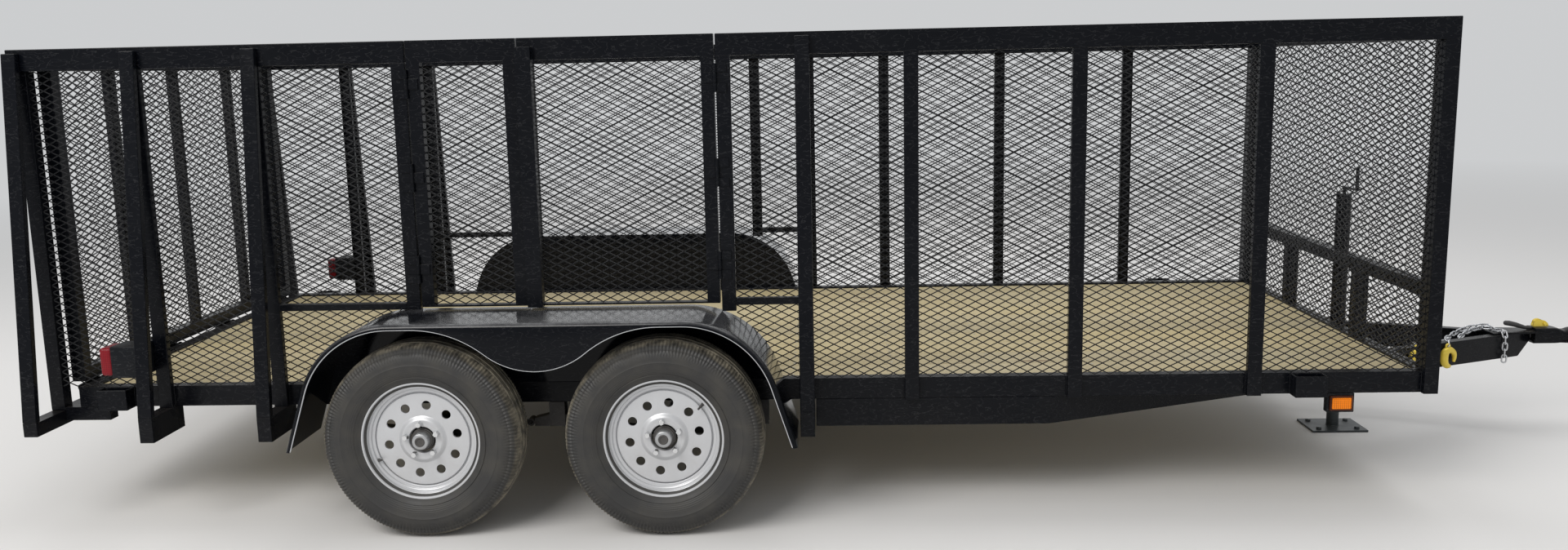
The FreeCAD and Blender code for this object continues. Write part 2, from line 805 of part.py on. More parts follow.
def fender(side, sign):
    """Rolled tandem fender with its skirt, and the plate that closes the wall behind the wheels."""
    middle = along(S.axle_middle)
    wall = S.fender_wall
    inner, outer = half_width(), half_width() + S.fender_width
    whole_span = side_span(sign, inner, outer)
    hollow_span = side_span(sign, inner - wall, outer - wall)
    skirt_span = side_span(sign, outer - 2 * wall, outer + wall)
    plate_span = side_span(sign, mesh_inner(), inner)
    whole = prism(f"fender_whole_{side}", "XZ_Plane", fender_points(0, S.fender_bottom),
                  S.fender_width, (middle, whole_span[0], 0))
    hollow = prism(f"fender_hollow_{side}", "XZ_Plane", fender_points(wall, S.fender_bottom - wall),
                   S.fender_width, (middle, hollow_span[0], 0))
    opening = prism(f"fender_skirt_{side}", "XZ_Plane", skirt_points(), 3 * wall, (middle, skirt_span[0], 0))
    plate = prism(f"well_plate_{side}", "XZ_Plane", fender_points(0, S.rail_top),
                  S.mesh_thickness, (middle, plate_span[0], 0))
    shell = cut(f"fender_open_{side}", cut(f"fender_shell_{side}", whole, hollow), opening)
    node(f"fender_{side}", fuse(f"fender_full_{side}", [shell, plate]))


def tyre_middle():
    """Centre line to the tyres' centre planes."""
    return half_width() + S.wheel_outboard


def spring_half():
    """Axle to spring eye."""
    return S.axle_spacing / 2 - S.rocker_half - S.eye_radius - S.seat_gap


def axle_stations():
    half = S.axle_spacing / 2
    return (("rear", S.axle_middle - half), ("front", S.axle_middle + half))


def spring_span(sign):
    middle = inner_width() + S.rail_width / 2
    return side_span(sign, middle - S.spring_width / 2, middle + S.spring_width / 2)


def spring_top():
    """Height of the leaf pack's top under the axle."""
    return S.tyre_radius - S.axle_radius - S.seat_height


def spring_arc():
    """Radius of the leaf pack's top."""
    return (spring_half() * spring_half() + S.spring_rise * S.spring_rise) / (2 * S.spring_rise)


def make_axles():
    """Axle tubes with their spindles and spring seats."""
    pieces = []
    seat_low = spring_top() + S.seat_length * S.seat_length / (8 * spring_arc()) + S.seat_gap
    beam = tyre_middle() - S.axle_end
    tip = tyre_middle() - S.spindle_tip
    for name, station in axle_stations():
        x = along(station)
        parts = [
            rod(f"beam_{name}", "y", (x, -beam, S.tyre_radius), S.axle_radius, 2 * beam),
            rod(f"spindle_{name}", "y", (x, -tip, S.tyre_radius), S.spindle_radius, 2 * tip),
        ]
        for side, sign in SIDES:
            parts.append(block(f"seat_{name}_{side}", around(station, S.seat_length), spring_span(sign),
                               (seat_low, S.tyre_radius)))
        pieces.append(fuse(f"axle_{name}", parts))
    node("axles", gather("both_axles", pieces))


def eye_height():
    return spring_top() - S.leaf_thickness / 2 + S.spring_rise


def spring(name, station, sign):
    """Leaf pack, thick at the axle and thin at its two rolled eyes."""
    reach = spring_half()
    rise = S.spring_rise
    tip = S.leaf_thickness / 2
    depth = S.spring_thickness - S.leaf_thickness
    middle = eye_height()
    lower = (reach * reach + (rise + depth) * (rise + depth)) / (2 * (rise + depth))
    points = [
        (-reach, middle + tip, spring_arc(), 1),
        (reach, middle + tip),
        (reach, middle - tip, lower, -1),
        (-reach, middle - tip),
    ]
    span = spring_span(sign)
    pack = prism(f"{name}_pack", "XZ_Plane", points, S.spring_width, (along(station), span[0], 0))
    eyes = [
        rod(f"{name}_eye_{number}", "y", (along(station + end * reach), span[0], middle),
            S.eye_radius, S.spring_width)
        for number, end in enumerate((-1, 1))
    ]
    return fuse(name, [pack] + eyes)


def make_leaf_springs():
    pieces = []
    for side, sign in SIDES:
        for name, station in axle_stations():
            pieces.append(spring(f"spring_{side}_{name}", station, sign))
    node("leaf_springs", gather("all_springs", pieces))


def hanger(name, station, sign, gap_width):
    """A folded bracket under the rail, open below, with its plates beside what it holds."""
    span = spring_span(sign)
    middle = (as_size(span[0]) + as_size(span[1])) / 2
    half = gap_width / 2 + S.seat_gap
    low = rail_bottom() - S.hanger_depth
    outer = block(name + "_whole", around(station, S.hanger_length),
                  (middle - half - S.hanger_wall, middle + half + S.hanger_wall), (low, rail_bottom()))
    slot = block(name + "_slot", around(station, S.hanger_length + 2 * S.hanger_wall),
                 (middle - half, middle + half), (low - S.hanger_wall, rail_bottom() - S.hanger_wall))
    return cut(name, outer, slot)


def make_spring_hangers():
    pieces = []
    for side, sign in SIDES:
        reach = S.axle_spacing / 2 + spring_half()
        for number, station in enumerate((S.axle_middle - reach, S.axle_middle, S.axle_middle + reach)):
            pieces.append(hanger(f"hanger_{side}_{number}", station, sign, S.spring_width))
    node("spring_hangers", gather("all_hangers", pieces))


def make_equalizers():
    """Rocker between the two springs' inner eyes."""
    half = S.rocker_half
    pieces = []
    for side, sign in SIDES:
        span = spring_span(sign)
        points = [
            (-half, eye_height() - S.eye_radius),
            (half, eye_height() - S.eye_radius),
            (half, eye_height() + S.eye_radius),
            (S.rocker_top, eye_height() + 2 * S.eye_radius),
            (-S.rocker_top, eye_height() + 2 * S.eye_radius),
            (-half, eye_height() + S.eye_radius),
        ]
        pieces.append(prism(f"rocker_{side}", "XZ_Plane", points, S.spring_width,
                            (along(S.axle_middle), span[0], 0)))
    node("equalizers", gather("all_equalizers", pieces))


def channel_leg(name, sign, start, length, angle):
    """One straight leg of a tongue channel, web outboard, turned inward by an angle."""
    low = rail_bottom() - S.tongue_height
    wall = S.tongue_wall
    lean, level = (sine(angle), cosine(angle)) if angle.number else (as_size(0), as_size(1))
    parts = (
        ("whole", as_size(0), S.tongue_flange, low, rail_bottom(), as_size(0)),
        ("hollow", wall, S.tongue_flange + wall, low + wall, rail_bottom() - wall, wall),
    )
    solids = []
    for part, near, far, bottom, top, extra in parts:
        item = DOC.addObject("Part::Box", f"{name}_{part}")
        bind(item, "Length", length + 2 * extra)
        bind(item, "Width", far - near)
        bind(item, "Height", top - bottom)
        turn = FreeCAD.Rotation(FreeCAD.Vector(0, 0, -sign), angle.number)
        item.Placement = FreeCAD.Placement(FreeCAD.Vector(), turn)
        if angle.number:
            item.setExpression("Placement.Rotation.Angle", angle.text)
        offset = near if sign < 0 else -far
        shift_x = offset * lean * sign - extra * level
        shift_y = extra * lean * sign + offset * level
        put(item, start[0] + shift_x, start[1] + shift_y, bottom)
        solids.append(item)
    return cut(name, solids[0], solids[1])


def tongue_apex():
    """Where the tongue's channels meet, behind the coupler's nose."""
    return nose_x() - S.coupler_reach


def tongue_bend():
    """Where the tongue's channels leave the rails and turn inward."""
    return tongue_apex() - half_width() / tangent(S.tongue_angle)


def make_tongues():
    """Channels under the rails that bend inward and meet behind the coupler."""
    run = half_width() / sine(S.tongue_angle)
    for side, sign in SIDES:
        bend = (tongue_bend(), half_width() * sign)
        rear = (along(S.tongue_start), half_width() * sign)
        straight = channel_leg(f"tongue_{side}_straight", sign, rear, bend[0] - rear[0], as_size(0))
        slanted = channel_leg(f"tongue_{side}_slanted", sign, bend, run, S.tongue_angle)
        both = fuse(f"tongue_{side}_both", [straight, slanted])
        span = side_span(-sign, 0, half_width())
        past = block(f"tongue_{side}_past", (bend[0], tongue_apex() + S.tongue_height), span,
                     (rail_bottom() - 2 * S.tongue_height, rail_bottom() + S.tongue_height))
        low = rail_bottom() - S.tongue_height
        under = prism(f"tongue_{side}_under", "XZ_Plane", [
            (-S.tongue_cut_length, low - S.cut_past), (S.cut_past, low - S.cut_past),
            (S.cut_past, low + S.tongue_cut_height), (0, low + S.tongue_cut_height),
            (-S.tongue_cut_length, low),
        ], 2 * S.tongue_height, (tongue_apex(), -S.tongue_height, 0))
        node(f"tongue_{side}", cut(f"tongue_{side}_full", cut(f"tongue_{side}_met", both, past), under))


def nose_x():
    return deck_front() + S.nose_reach


def chain_tabs():
    """Tabs on the coupler plate that the safety chains hang from."""
    x = tongue_apex() - S.chain_back
    inner = S.chain_back * tangent(S.tongue_angle) - S.tongue_flange / 2
    pieces = []
    for side, sign in SIDES:
        pieces.append(block(f"tab_{side}", (x - S.tab_length / 2, x + S.tab_length / 2),
                            side_span(sign, inner, chain_y() + S.link_width / 2),
                            (rail_bottom(), rail_bottom() + S.plate_thickness)))
    return pieces


def make_coupler():
    """Plate on the tongue's apex and the hollow nose that closes over the ball."""
    apex = tongue_apex()
    back = S.plate_length
    wide = back * tangent(S.tongue_angle)
    plate = prism("coupler_plate", "XY_Plane", [
        (-back, -wide), (0, -S.nose_half), (S.plate_front, -S.nose_half),
        (S.plate_front, S.nose_half), (0, S.nose_half), (-back, wide),
    ], S.plate_thickness, (apex, 0, rail_bottom()))
    tail = apex + S.seat_gap
    length = nose_x() - tail
    nose = prism("coupler_nose", "XY_Plane", [
        (0, -S.nose_half), (length - S.nose_half, -S.nose_half, S.nose_half, 1),
        (length - S.nose_half, S.nose_half), (0, S.nose_half),
    ], S.nose_top - S.nose_bottom, (tail, 0, S.nose_bottom))
    socket_low = S.nose_bottom - S.cut_past
    socket = rod("coupler_socket", "z", (nose_x() - S.ball_back, 0, socket_low), S.ball_radius,
                 S.ball_height + S.ball_radius - socket_low)
    lever_x = nose_x() - S.lever_back
    plate_top = rail_bottom() + S.plate_thickness
    lever = block("coupler_lever", (lever_x, lever_x + S.lever_length),
                  (-S.lever_width / 2, S.lever_width / 2), (plate_top, plate_top + S.lever_height))
    node("coupler", cut("coupler_full", fuse("coupler_solid", [plate, nose, lever] + chain_tabs()), socket))


def make_coupler_latch():
    """Latch block on the nose, with a raised grip."""
    back = nose_x() - S.latch_back
    profile = [
        (0, 0), (S.latch_length, 0), (S.latch_length, S.latch_front_height),
        (S.latch_top_front, S.latch_height), (S.latch_top_rear, S.latch_height), (0, S.latch_rear_height),
    ]
    latch = prism("latch_block", "XZ_Plane", profile, S.latch_width, (back, -S.latch_width / 2, S.nose_top))
    node("coupler_latch", latch)


def jack_x():
    return deck_front() + S.jack_ahead


def make_jack_tube():
    """Outer tube with its bracket on the front rail and its crank."""
    x = jack_x()
    height = S.jack_top - S.jack_bottom
    tube = rod("jack_outer", "z", (x, 0, S.jack_bottom), S.jack_radius, height)
    middle = (rail_bottom() + S.rail_top) / 2
    bracket = block("jack_bracket", (deck_front(), x - S.jack_bore),
                    (-S.bracket_width / 2, S.bracket_width / 2),
                    (middle - S.bracket_height / 2, middle + S.bracket_height / 2))
    stem = rod("crank_stem", "z", (x, 0, S.jack_top), S.crank_radius, S.crank_neck)
    arm_z = S.jack_top + S.crank_neck
    arm = block("crank_bar", (x - S.crank_radius, x + S.crank_radius),
                (-S.crank_arm, S.crank_radius), (arm_z, arm_z + S.crank_flat))
    grip = rod("crank_grip", "z", (x, S.crank_radius - S.crank_arm, arm_z + S.crank_flat), S.crank_radius,
               S.crank_grip)
    solid = fuse("jack_solid", [tube, bracket, stem, arm, grip])
    bore = rod("jack_bore_tool", "z", (x, 0, S.jack_bottom - S.cut_past), S.jack_bore,
               height - S.jack_cap + S.cut_past)
    node("jack_tube", cut("jack_outer_full", solid, bore))


def make_jack_leg():
    x = jack_x()
    leg = rod("leg_tube", "z", (x, 0, 0), S.jack_leg_radius, S.jack_leg_top)
    foot = block("leg_foot", (x - S.foot_length / 2, x + S.foot_length / 2),
                 (-S.foot_width / 2, S.foot_width / 2), (0, S.foot_thickness))
    node("jack_leg", fuse("leg_full", [leg, foot]))


def pocket_stations():
    """Rear pockets midway behind the tail posts, and front pockets."""
    rear = (station_tail() - S.post_width / 2 - S.deck_length / 2) / 2
    return rear, S.deck_length / 2 - S.pocket_inset


def make_stake_pockets():
    pieces = []
    wall = S.pocket_wall
    for side, sign in SIDES:
        for number, station in enumerate(pocket_stations()):
            whole = block(f"pocket_whole_{side}_{number}", around(station, S.pocket_length),
                          side_span(sign, half_width(), half_width() + S.pocket_depth),
                          (rail_bottom(), S.rail_top))
            hollow = block(f"pocket_hollow_{side}_{number}", around(station, S.pocket_length - 2 * wall),
                           side_span(sign, half_width() + wall, half_width() + S.pocket_depth - wall),
                           (rail_bottom() - wall, S.rail_top + wall))
            pieces.append(cut(f"pocket_{side}_{number}", whole, hollow))
    node("stake_pockets", gather("all_pockets", pieces))


def tail_lamp_rear():
    return around(station_tail(), S.post_width)[0] - S.lamp_length


def tail_lamp_span(sign, margin):
    inner = wall_face() - S.lamp_inset
    return side_span(sign, inner + margin, inner + S.lamp_width - margin)


def marker_station():
    return S.deck_length / 2 - S.marker_inset


def make_lamp_housings():
    """Tail lamp boxes behind the tail posts and marker lamp housings under the rails."""
    pieces = []
    rear = tail_lamp_rear()
    for side, sign in SIDES:
        pieces.append(block(f"lamp_box_{side}", (rear, rear + S.lamp_length), tail_lamp_span(sign, 0),
                            (S.lamp_bottom, S.lamp_bottom + S.lamp_height)))
        pieces.append(block(f"marker_box_{side}", around(marker_station(), S.marker_length),
                            side_span(sign, half_width() - S.marker_depth, half_width()),
                            (rail_bottom() - S.marker_height, rail_bottom())))
    node("lamp_housings", gather("all_housings", pieces))


def make_tail_lenses():
    pieces = []
    rear = tail_lamp_rear()
    margin = S.lens_margin
    for side, sign in SIDES:
        pieces.append(block(f"tail_lens_{side}", (rear - S.lens_depth, rear), tail_lamp_span(sign, margin),
                            (S.lamp_bottom + margin, S.lamp_bottom + S.lamp_height - margin)))
    node("tail_lenses", gather("all_tail_lenses", pieces))


def make_marker_lenses():
    pieces = []
    margin = S.marker_margin
    for side, sign in SIDES:
        pieces.append(block(f"marker_lens_{side}", around(marker_station(), S.marker_length - 2 * margin),
                            side_span(sign, half_width(), half_width() + S.marker_lens_depth),
                            (rail_bottom() - S.marker_height + margin, rail_bottom() - margin)))
    node("marker_lenses", gather("all_marker_lenses", pieces))


def link_points():
    """A link's outline, each end in three flats."""
    end = S.link_length / 2
    side = S.link_width / 2
    flat = side - S.link_wire
    return [
        (-side, S.link_wire - end),
        (-flat, -end),
        (flat, -end),
        (side, S.link_wire - end),
        (side, end - S.link_wire),
        (flat, end),
        (-flat, end),
        (-side, end - S.link_wire),
    ]


def chain_link(name, x, y, z, turned):
    """One hanging link, flat to the side or turned a quarter about its length."""
    wire = S.link_wire
    half = S.link_width / 2 - wire
    tall = (z + wire - S.link_length / 2, z - wire + S.link_length / 2)
    if turned:
        outer = prism(name + "_outer", "YZ_Plane", link_points(), wire, (x - wire / 2, y, z))
        window = block(name + "_window", (x - wire, x + wire), (y - half, y + half), tall)
    else:
        outer = prism(name + "_outer", "XZ_Plane", link_points(), wire, (x, y - wire / 2, z))
        window = block(name + "_window", (x - half, x + half), (y - wire, y + wire), tall)
    return cut(name, outer, window)


def chain_y():
    """Centre line to the hanging chain, outside the channel."""
    return S.chain_back * tangent(S.tongue_angle) + S.tab_reach - S.link_width / 2


def make_safety_chains():
    """Links that hang from the coupler plate's tabs."""
    x = tongue_apex() - S.chain_back
    pitch = S.link_length - 2 * S.link_wire - S.link_slack
    top = rail_bottom() - S.seat_gap - S.link_length / 2
    pieces = []
    for side, sign in SIDES:
        for number in range(int(S.link_count.number)):
            pieces.append(chain_link(f"link_{side}_{number}", x, chain_y() * sign, top - pitch * number,
                                     number % 2 == 1))
    node("safety_chains", gather("all_links", pieces))


def make_fixed_hinges():
    """Rear gate hinges on the rear rail and side gate hinges on the gate posts, with their pins."""
    pieces = []
    for number, place in enumerate(rear_hinge_places()):
        pieces.append(rear_hinge(f"rear_hinge_{number}", place))
    for leaf, edge, way, _columns in leaf_table():
        for number in range(int(S.leaf_hinge_count.number)):
            middle = S.hinge_low + S.hinge_step * number
            pieces.append(leaf_hinge_fixed(f"hinge_{leaf}_{number}", edge, way, middle))
    node("fixed_hinges", gather("all_fixed_hinges", pieces))


def rear_hinge_places():
    """Y of each rear gate hinge."""
    outer = inner_width() - S.gate_clear - S.gate_bar - S.gate_barrel / 2
    inner = S.gate_rib_spacing / 2
    return (-outer, -inner, inner, outer)


def gate_pin():
    """X and Z of the rear gate's pin."""
    return deck_rear() - S.gate_back + S.gate_depth / 2, S.rail_top - S.gate_pin_drop


def rear_hinge(name, middle):
    """Two fixed barrels on straps from the rear rail, with the pin through them."""
    x, z = gate_pin()
    half = S.gate_barrel / 2 + S.knuckle_gap
    whole = half + S.gate_barrel_fixed
    parts = [rod(f"{name}_pin", "y", (x, middle - whole, z), S.gate_pin_radius, 2 * whole)]
    for number, low in enumerate((middle - whole, middle + half)):
        parts.append(rod(f"{name}_barrel_{number}", "y", (x, low, z), S.gate_barrel_radius,
                         S.gate_barrel_fixed))
        parts.append(block(f"{name}_strap_{number}", (x, deck_rear()), (low, low + S.gate_barrel_fixed),
                           (z - S.gate_barrel_radius, z)))
    return fuse(name, parts)


def gate_half():
    return inner_width() - S.gate_clear


def gate_x():
    rear = deck_rear() - S.gate_back
    return rear, rear + S.gate_depth


def make_rear_gate():
    """Ramp gate frame with its inner uprights and its share of the hinge barrels."""
    rear, front = gate_x()
    half = gate_half()
    low = S.rail_top + S.gate_bottom
    bar = S.gate_bar
    x, z = gate_pin()
    parts = [
        block("gate_top", (rear, front), (-half, half), (top_rail_bottom(), wall_top())),
        block("gate_foot", (rear, front), (-half, half), (low, low + bar)),
    ]
    for side, sign in SIDES:
        parts.append(block(f"gate_stile_{side}", (rear, front), side_span(sign, half - bar, half),
                           (low, wall_top())))
    for number in (-1, 0, 1):
        middle = S.gate_rib_spacing * number
        parts.append(block(f"gate_rib_{number + 1}", (rear, rear + S.gate_rib),
                           (middle - bar / 2, middle + bar / 2), (low, wall_top() - S.top_rail_height / 2)))
    bores = []
    for number, middle in enumerate(rear_hinge_places()):
        start = middle - S.gate_barrel / 2
        parts.append(rod(f"gate_barrel_{number}", "y", (x, start, z), S.gate_barrel_radius, S.gate_barrel))
        parts.append(block(f"gate_lug_{number}", (x - S.gate_pin_radius, x + S.gate_pin_radius),
                           (start, start + S.gate_barrel), (z, low + bar / 2)))
        bores.append(rod(f"gate_bore_{number}", "y", (x, start - S.cut_past, z),
                         S.gate_pin_radius + S.hinge_fit, S.gate_barrel + 2 * S.cut_past))
    node("rear_gate_frame", cut("rear_gate_full", fuse("rear_gate_solid", parts), gather("gate_bores", bores)))


def make_rear_gate_mesh():
    rear = gate_x()[0] + S.gate_rib
    half = gate_half() - S.gate_bar
    tall = (S.rail_top + S.gate_bottom + S.gate_bar, top_rail_bottom())
    node("rear_gate_mesh", mesh_sheet("rear_gate_sheet", (-half, half), (rear, rear + S.mesh_thickness),
                                      tall, S.rear_gate_columns, across=True))


def leaf_table():
    """Leaf name, X of its hinge post's face, the way to the free edge, and its mesh's columns."""
    rear, front = gate_post_edges()
    return (("rear", rear, 1, S.rear_leaf_columns), ("front", front, -1, S.front_leaf_columns))


def leaf_span(edge, way):
    """Hinge edge and free edge of a leaf."""
    return edge + S.leaf_gap * way, along(S.leaf_meeting) - S.leaf_gap / 2 * way


def leaf_pin(edge, way):
    """X and Y of a leaf's hinge pins."""
    return edge + S.leaf_gap / 2 * way, -(wall_face() + S.leaf_pin_out)


def ordered(first, second):
    """Two places from low to high."""
    return (first, second) if as_size(first).number < as_size(second).number else (second, first)


def leaf_hinge_fixed(name, edge, way, middle):
    """Two barrels and their plates on the gate post, with the pin through them."""
    x, y = leaf_pin(edge, way)
    half = S.leaf_barrel / 2 + S.knuckle_gap
    whole = half + S.leaf_barrel_fixed
    parts = [rod(f"{name}_pin", "z", (x, y, middle - whole), S.leaf_pin_radius, 2 * whole)]
    for number, low in enumerate((middle - whole, middle + half)):
        parts.append(rod(f"{name}_barrel_{number}", "z", (x, y, low), S.leaf_barrel_radius,
                         S.leaf_barrel_fixed))
        parts.append(block(f"{name}_plate_{number}", ordered(x, x - S.leaf_plate_length * way),
                           (-(wall_face() + S.leaf_plate), -wall_face()), (low, low + S.leaf_barrel_fixed)))
    return fuse(name, parts)


def make_side_leaf(leaf, edge, way, columns):
    """One leaf of the side gate: frame, bottom bar, hinge barrels and, on the front leaf, the cover bar."""
    hinge_edge, free_edge = leaf_span(edge, way)
    low = S.fender_top + S.leaf_bottom
    across = (-wall_face(), -(wall_face() - S.leaf_depth))
    whole = ordered(hinge_edge, free_edge)
    parts = [
        block(f"leaf_{leaf}_top", whole, across, (top_rail_bottom(), wall_top())),
        block(f"leaf_{leaf}_foot", whole, across, (low, low + S.leaf_foot)),
        block(f"leaf_{leaf}_hinge_bar", ordered(hinge_edge, hinge_edge + S.leaf_bar * way), across,
              (low, wall_top())),
        block(f"leaf_{leaf}_free_bar", ordered(free_edge, free_edge - S.leaf_bar * way), across,
              (low, wall_top())),
    ]
    if leaf == "front":
        parts.append(block("leaf_cover", (free_edge, free_edge + S.stile_width),
                           (-(wall_face() + S.stile_depth), -wall_face()), (low, wall_top() - S.stile_drop)))
    x, y = leaf_pin(edge, way)
    bores = []
    for number in range(int(S.leaf_hinge_count.number)):
        start = S.hinge_low + S.hinge_step * number - S.leaf_barrel / 2
        parts.append(rod(f"leaf_{leaf}_barrel_{number}", "z", (x, y, start), S.leaf_barrel_radius,
                         S.leaf_barrel))
        parts.append(block(f"leaf_{leaf}_plate_{number}", ordered(x, x + S.leaf_plate_length * way),
                           (-(wall_face() + S.leaf_plate), -wall_face()), (start, start + S.leaf_barrel)))
        bores.append(rod(f"leaf_{leaf}_bore_{number}", "z", (x, y, start - S.cut_past),
                         S.leaf_pin_radius + S.hinge_fit, S.leaf_barrel + 2 * S.cut_past))
    solid = fuse(f"leaf_{leaf}_solid", parts)
    node(f"side_gate_{leaf}_frame", cut(f"leaf_{leaf}_full", solid, gather(f"leaf_{leaf}_bores", bores)))
    middle = -(wall_face() - S.leaf_depth / 2)
    inside = ordered(hinge_edge + S.leaf_bar * way, free_edge - S.leaf_bar * way)
    through = (middle - S.mesh_thickness / 2, middle + S.mesh_thickness / 2)
    node(f"side_gate_{leaf}_mesh", mesh_sheet(f"leaf_{leaf}_sheet", inside, through,
                                              (low + S.leaf_foot, top_rail_bottom()), columns))


def tyre_points():
    """Half section of the tyre from bead to bead, across and out from the hub."""
    bead = S.rim_radius + S.tyre_fit
    half = S.rim_half - 2 * S.rim_wall - 2 * S.tyre_fit
    wide = S.tyre_width / 2
    tread = wide - S.tyre_shoulder
    return [
        (-half, bead),
        (half, bead),
        (wide, S.tyre_belly),
        (tread, S.tyre_radius),
        (-tread, S.tyre_radius),
        (-wide, S.tyre_belly),
    ]


def wheel_points():
    """Half section of rim, disc and hub; outboard is +."""
    flange = S.rim_half
    lip = 2 * S.rim_wall
    seat = S.rim_radius
    barrel = seat - S.rim_wall
    face = S.disc_face
    back = face - S.disc_wall
    boss = face + S.boss_height
    bore = S.spindle_radius + S.spindle_fit
    tip = S.rim_wall - S.spindle_tip
    return [
        (-S.hub_back, bore),
        (-S.hub_back, S.hub_radius),
        (back, S.hub_radius),
        (back, barrel),
        (-flange, barrel),
        (-flange, S.rim_flange),
        (lip - flange, seat),
        (flange - lip, seat),
        (flange, S.rim_flange),
        (flange - lip, barrel),
        (face, barrel),
        (face, S.boss_radius),
        (boss, S.boss_radius - S.boss_height),
        (boss, S.cap_radius),
        (S.cap_front, S.cap_radius),
        (S.cap_front, 0),
        (tip, 0),
        (tip, bore),
    ]


def turned(name, points):
    """A body turned about the wheel's axis from a half section."""
    body = DOC.addObject("PartDesign::Body", name)
    sketch = outline(body, "YZ_Plane", points)
    spin = body.newObject("PartDesign::Revolution", name + "_turn")
    spin.Profile = sketch
    spin.ReferenceAxis = (sketch, ["H_Axis"])
    spin.Angle = 360
    DOC.recompute()
    return body


def drill_hand_holes(body):
    """Ten round holes through the disc."""
    face = [item for item in body.Origin.OriginFeatures if item.Role == "XZ_Plane"][0]
    sketch = body.newObject("Sketcher::SketchObject", body.Name + "_hole")
    sketch.AttachmentSupport = [(face, "")]
    sketch.MapMode = "FlatFace"
    centre = FreeCAD.Vector(0, S.hand_hole_circle.number, 0)
    sketch.addGeometry(Part.Circle(centre, FreeCAD.Vector(0, 0, 1), S.hand_hole_radius.number))
    sketch.addConstraint(Sketcher.Constraint("PointOnObject", 0, 3, -2))
    hold(sketch, "DistanceY", 0, 3, S.hand_hole_circle)
    index = sketch.addConstraint(Sketcher.Constraint("Radius", 0, S.hand_hole_radius.number))
    sketch.setExpression(f"Constraints[{index}]", S.hand_hole_radius.text)
    pocket = body.newObject("PartDesign::Pocket", body.Name + "_pocket")
    pocket.Profile = sketch
    bind(pocket, "Length", S.disc_face + S.disc_wall)
    pocket.Reversed = False
    pattern = body.newObject("PartDesign::PolarPattern", body.Name + "_ring")
    pattern.Originals = [pocket]
    pattern.Axis = (sketch, ["N_Axis"])
    pattern.Angle = 360
    pattern.Occurrences = int(S.hand_hole_count.number)
    body.Tip = pattern
    DOC.recompute()


def make_wheel(place, station, side, sign):
    """A tyre and its wheel at one axle end; the wheel's face looks outboard."""
    tyre = turned(f"tyre_body_{side}_{place}", tyre_points())
    wheel = turned(f"wheel_body_{side}_{place}", wheel_points())
    before = wheel.Shape.Volume
    drill_hand_holes(wheel)
    if not wheel.Shape.Volume < before:
        raise RuntimeError("the disc's holes cut nothing")
    yaw = FreeCAD.Rotation(FreeCAD.Vector(0, 0, 1), 0 if sign > 0 else 180)
    for item in (tyre, wheel):
        item.Placement = FreeCAD.Placement(FreeCAD.Vector(), yaw)
        put(item, along(station), tyre_middle() * sign, S.tyre_radius)
    node(f"tyre_{side}_{place}", tyre)
    node(f"wheel_{side}_{place}", wheel)


def check_document():
    """Stop on any failed feature or broken sub-part."""
    for item in DOC.Objects:
        if "Invalid" in item.State or "Error" in item.State:
            raise RuntimeError(f"{item.Name} failed: {item.State}")
    for item in NODES:
        if item.Shape.isNull() or not item.Shape.isValid():
            raise RuntimeError(f"{item.Label} has a broken shape")


def write_nodes():
    os.makedirs("parts", exist_ok=True)
    for item in NODES:
        item.Shape.exportStep(f"parts/{item.Label}.step")


def main():
    fill_sheet()
    make_frame_rails()
    make_end_rails()
    make_crossmembers()
    make_deck_boards()
    make_outriggers()
    make_rear_cross_tube()
    make_side_posts()
    make_braces()
    make_top_rails()
    make_fender_rails()
    make_side_mesh()
    make_front_wall()
    make_front_mesh()
    for side, sign in SIDES:
        fender(side, sign)
    make_axles()
    make_leaf_springs()
    make_spring_hangers()
    make_equalizers()
    make_tongues()
    make_coupler()
    make_coupler_latch()
    make_jack_tube()
    make_jack_leg()
    make_stake_pockets()
    make_lamp_housings()
    make_tail_lenses()
    make_marker_lenses()
    make_safety_chains()
    make_fixed_hinges()
    make_rear_gate()
    make_rear_gate_mesh()
    for leaf, edge, way, columns in leaf_table():
        make_side_leaf(leaf, edge, way, columns)
    for place, station in axle_stations():
        for side, sign in SIDES:
            make_wheel(place, station, side, sign)
    DOC.recompute()
    check_document()
    write_nodes()


main()
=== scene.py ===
"""Looks of a tandem utility trailer with mesh walls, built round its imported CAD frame."""
import math

import bmesh
import bpy
import numpy as np
from bpy.props import FloatProperty, FloatVectorProperty, IntProperty, PointerProperty
from mathutils import Matrix, Vector


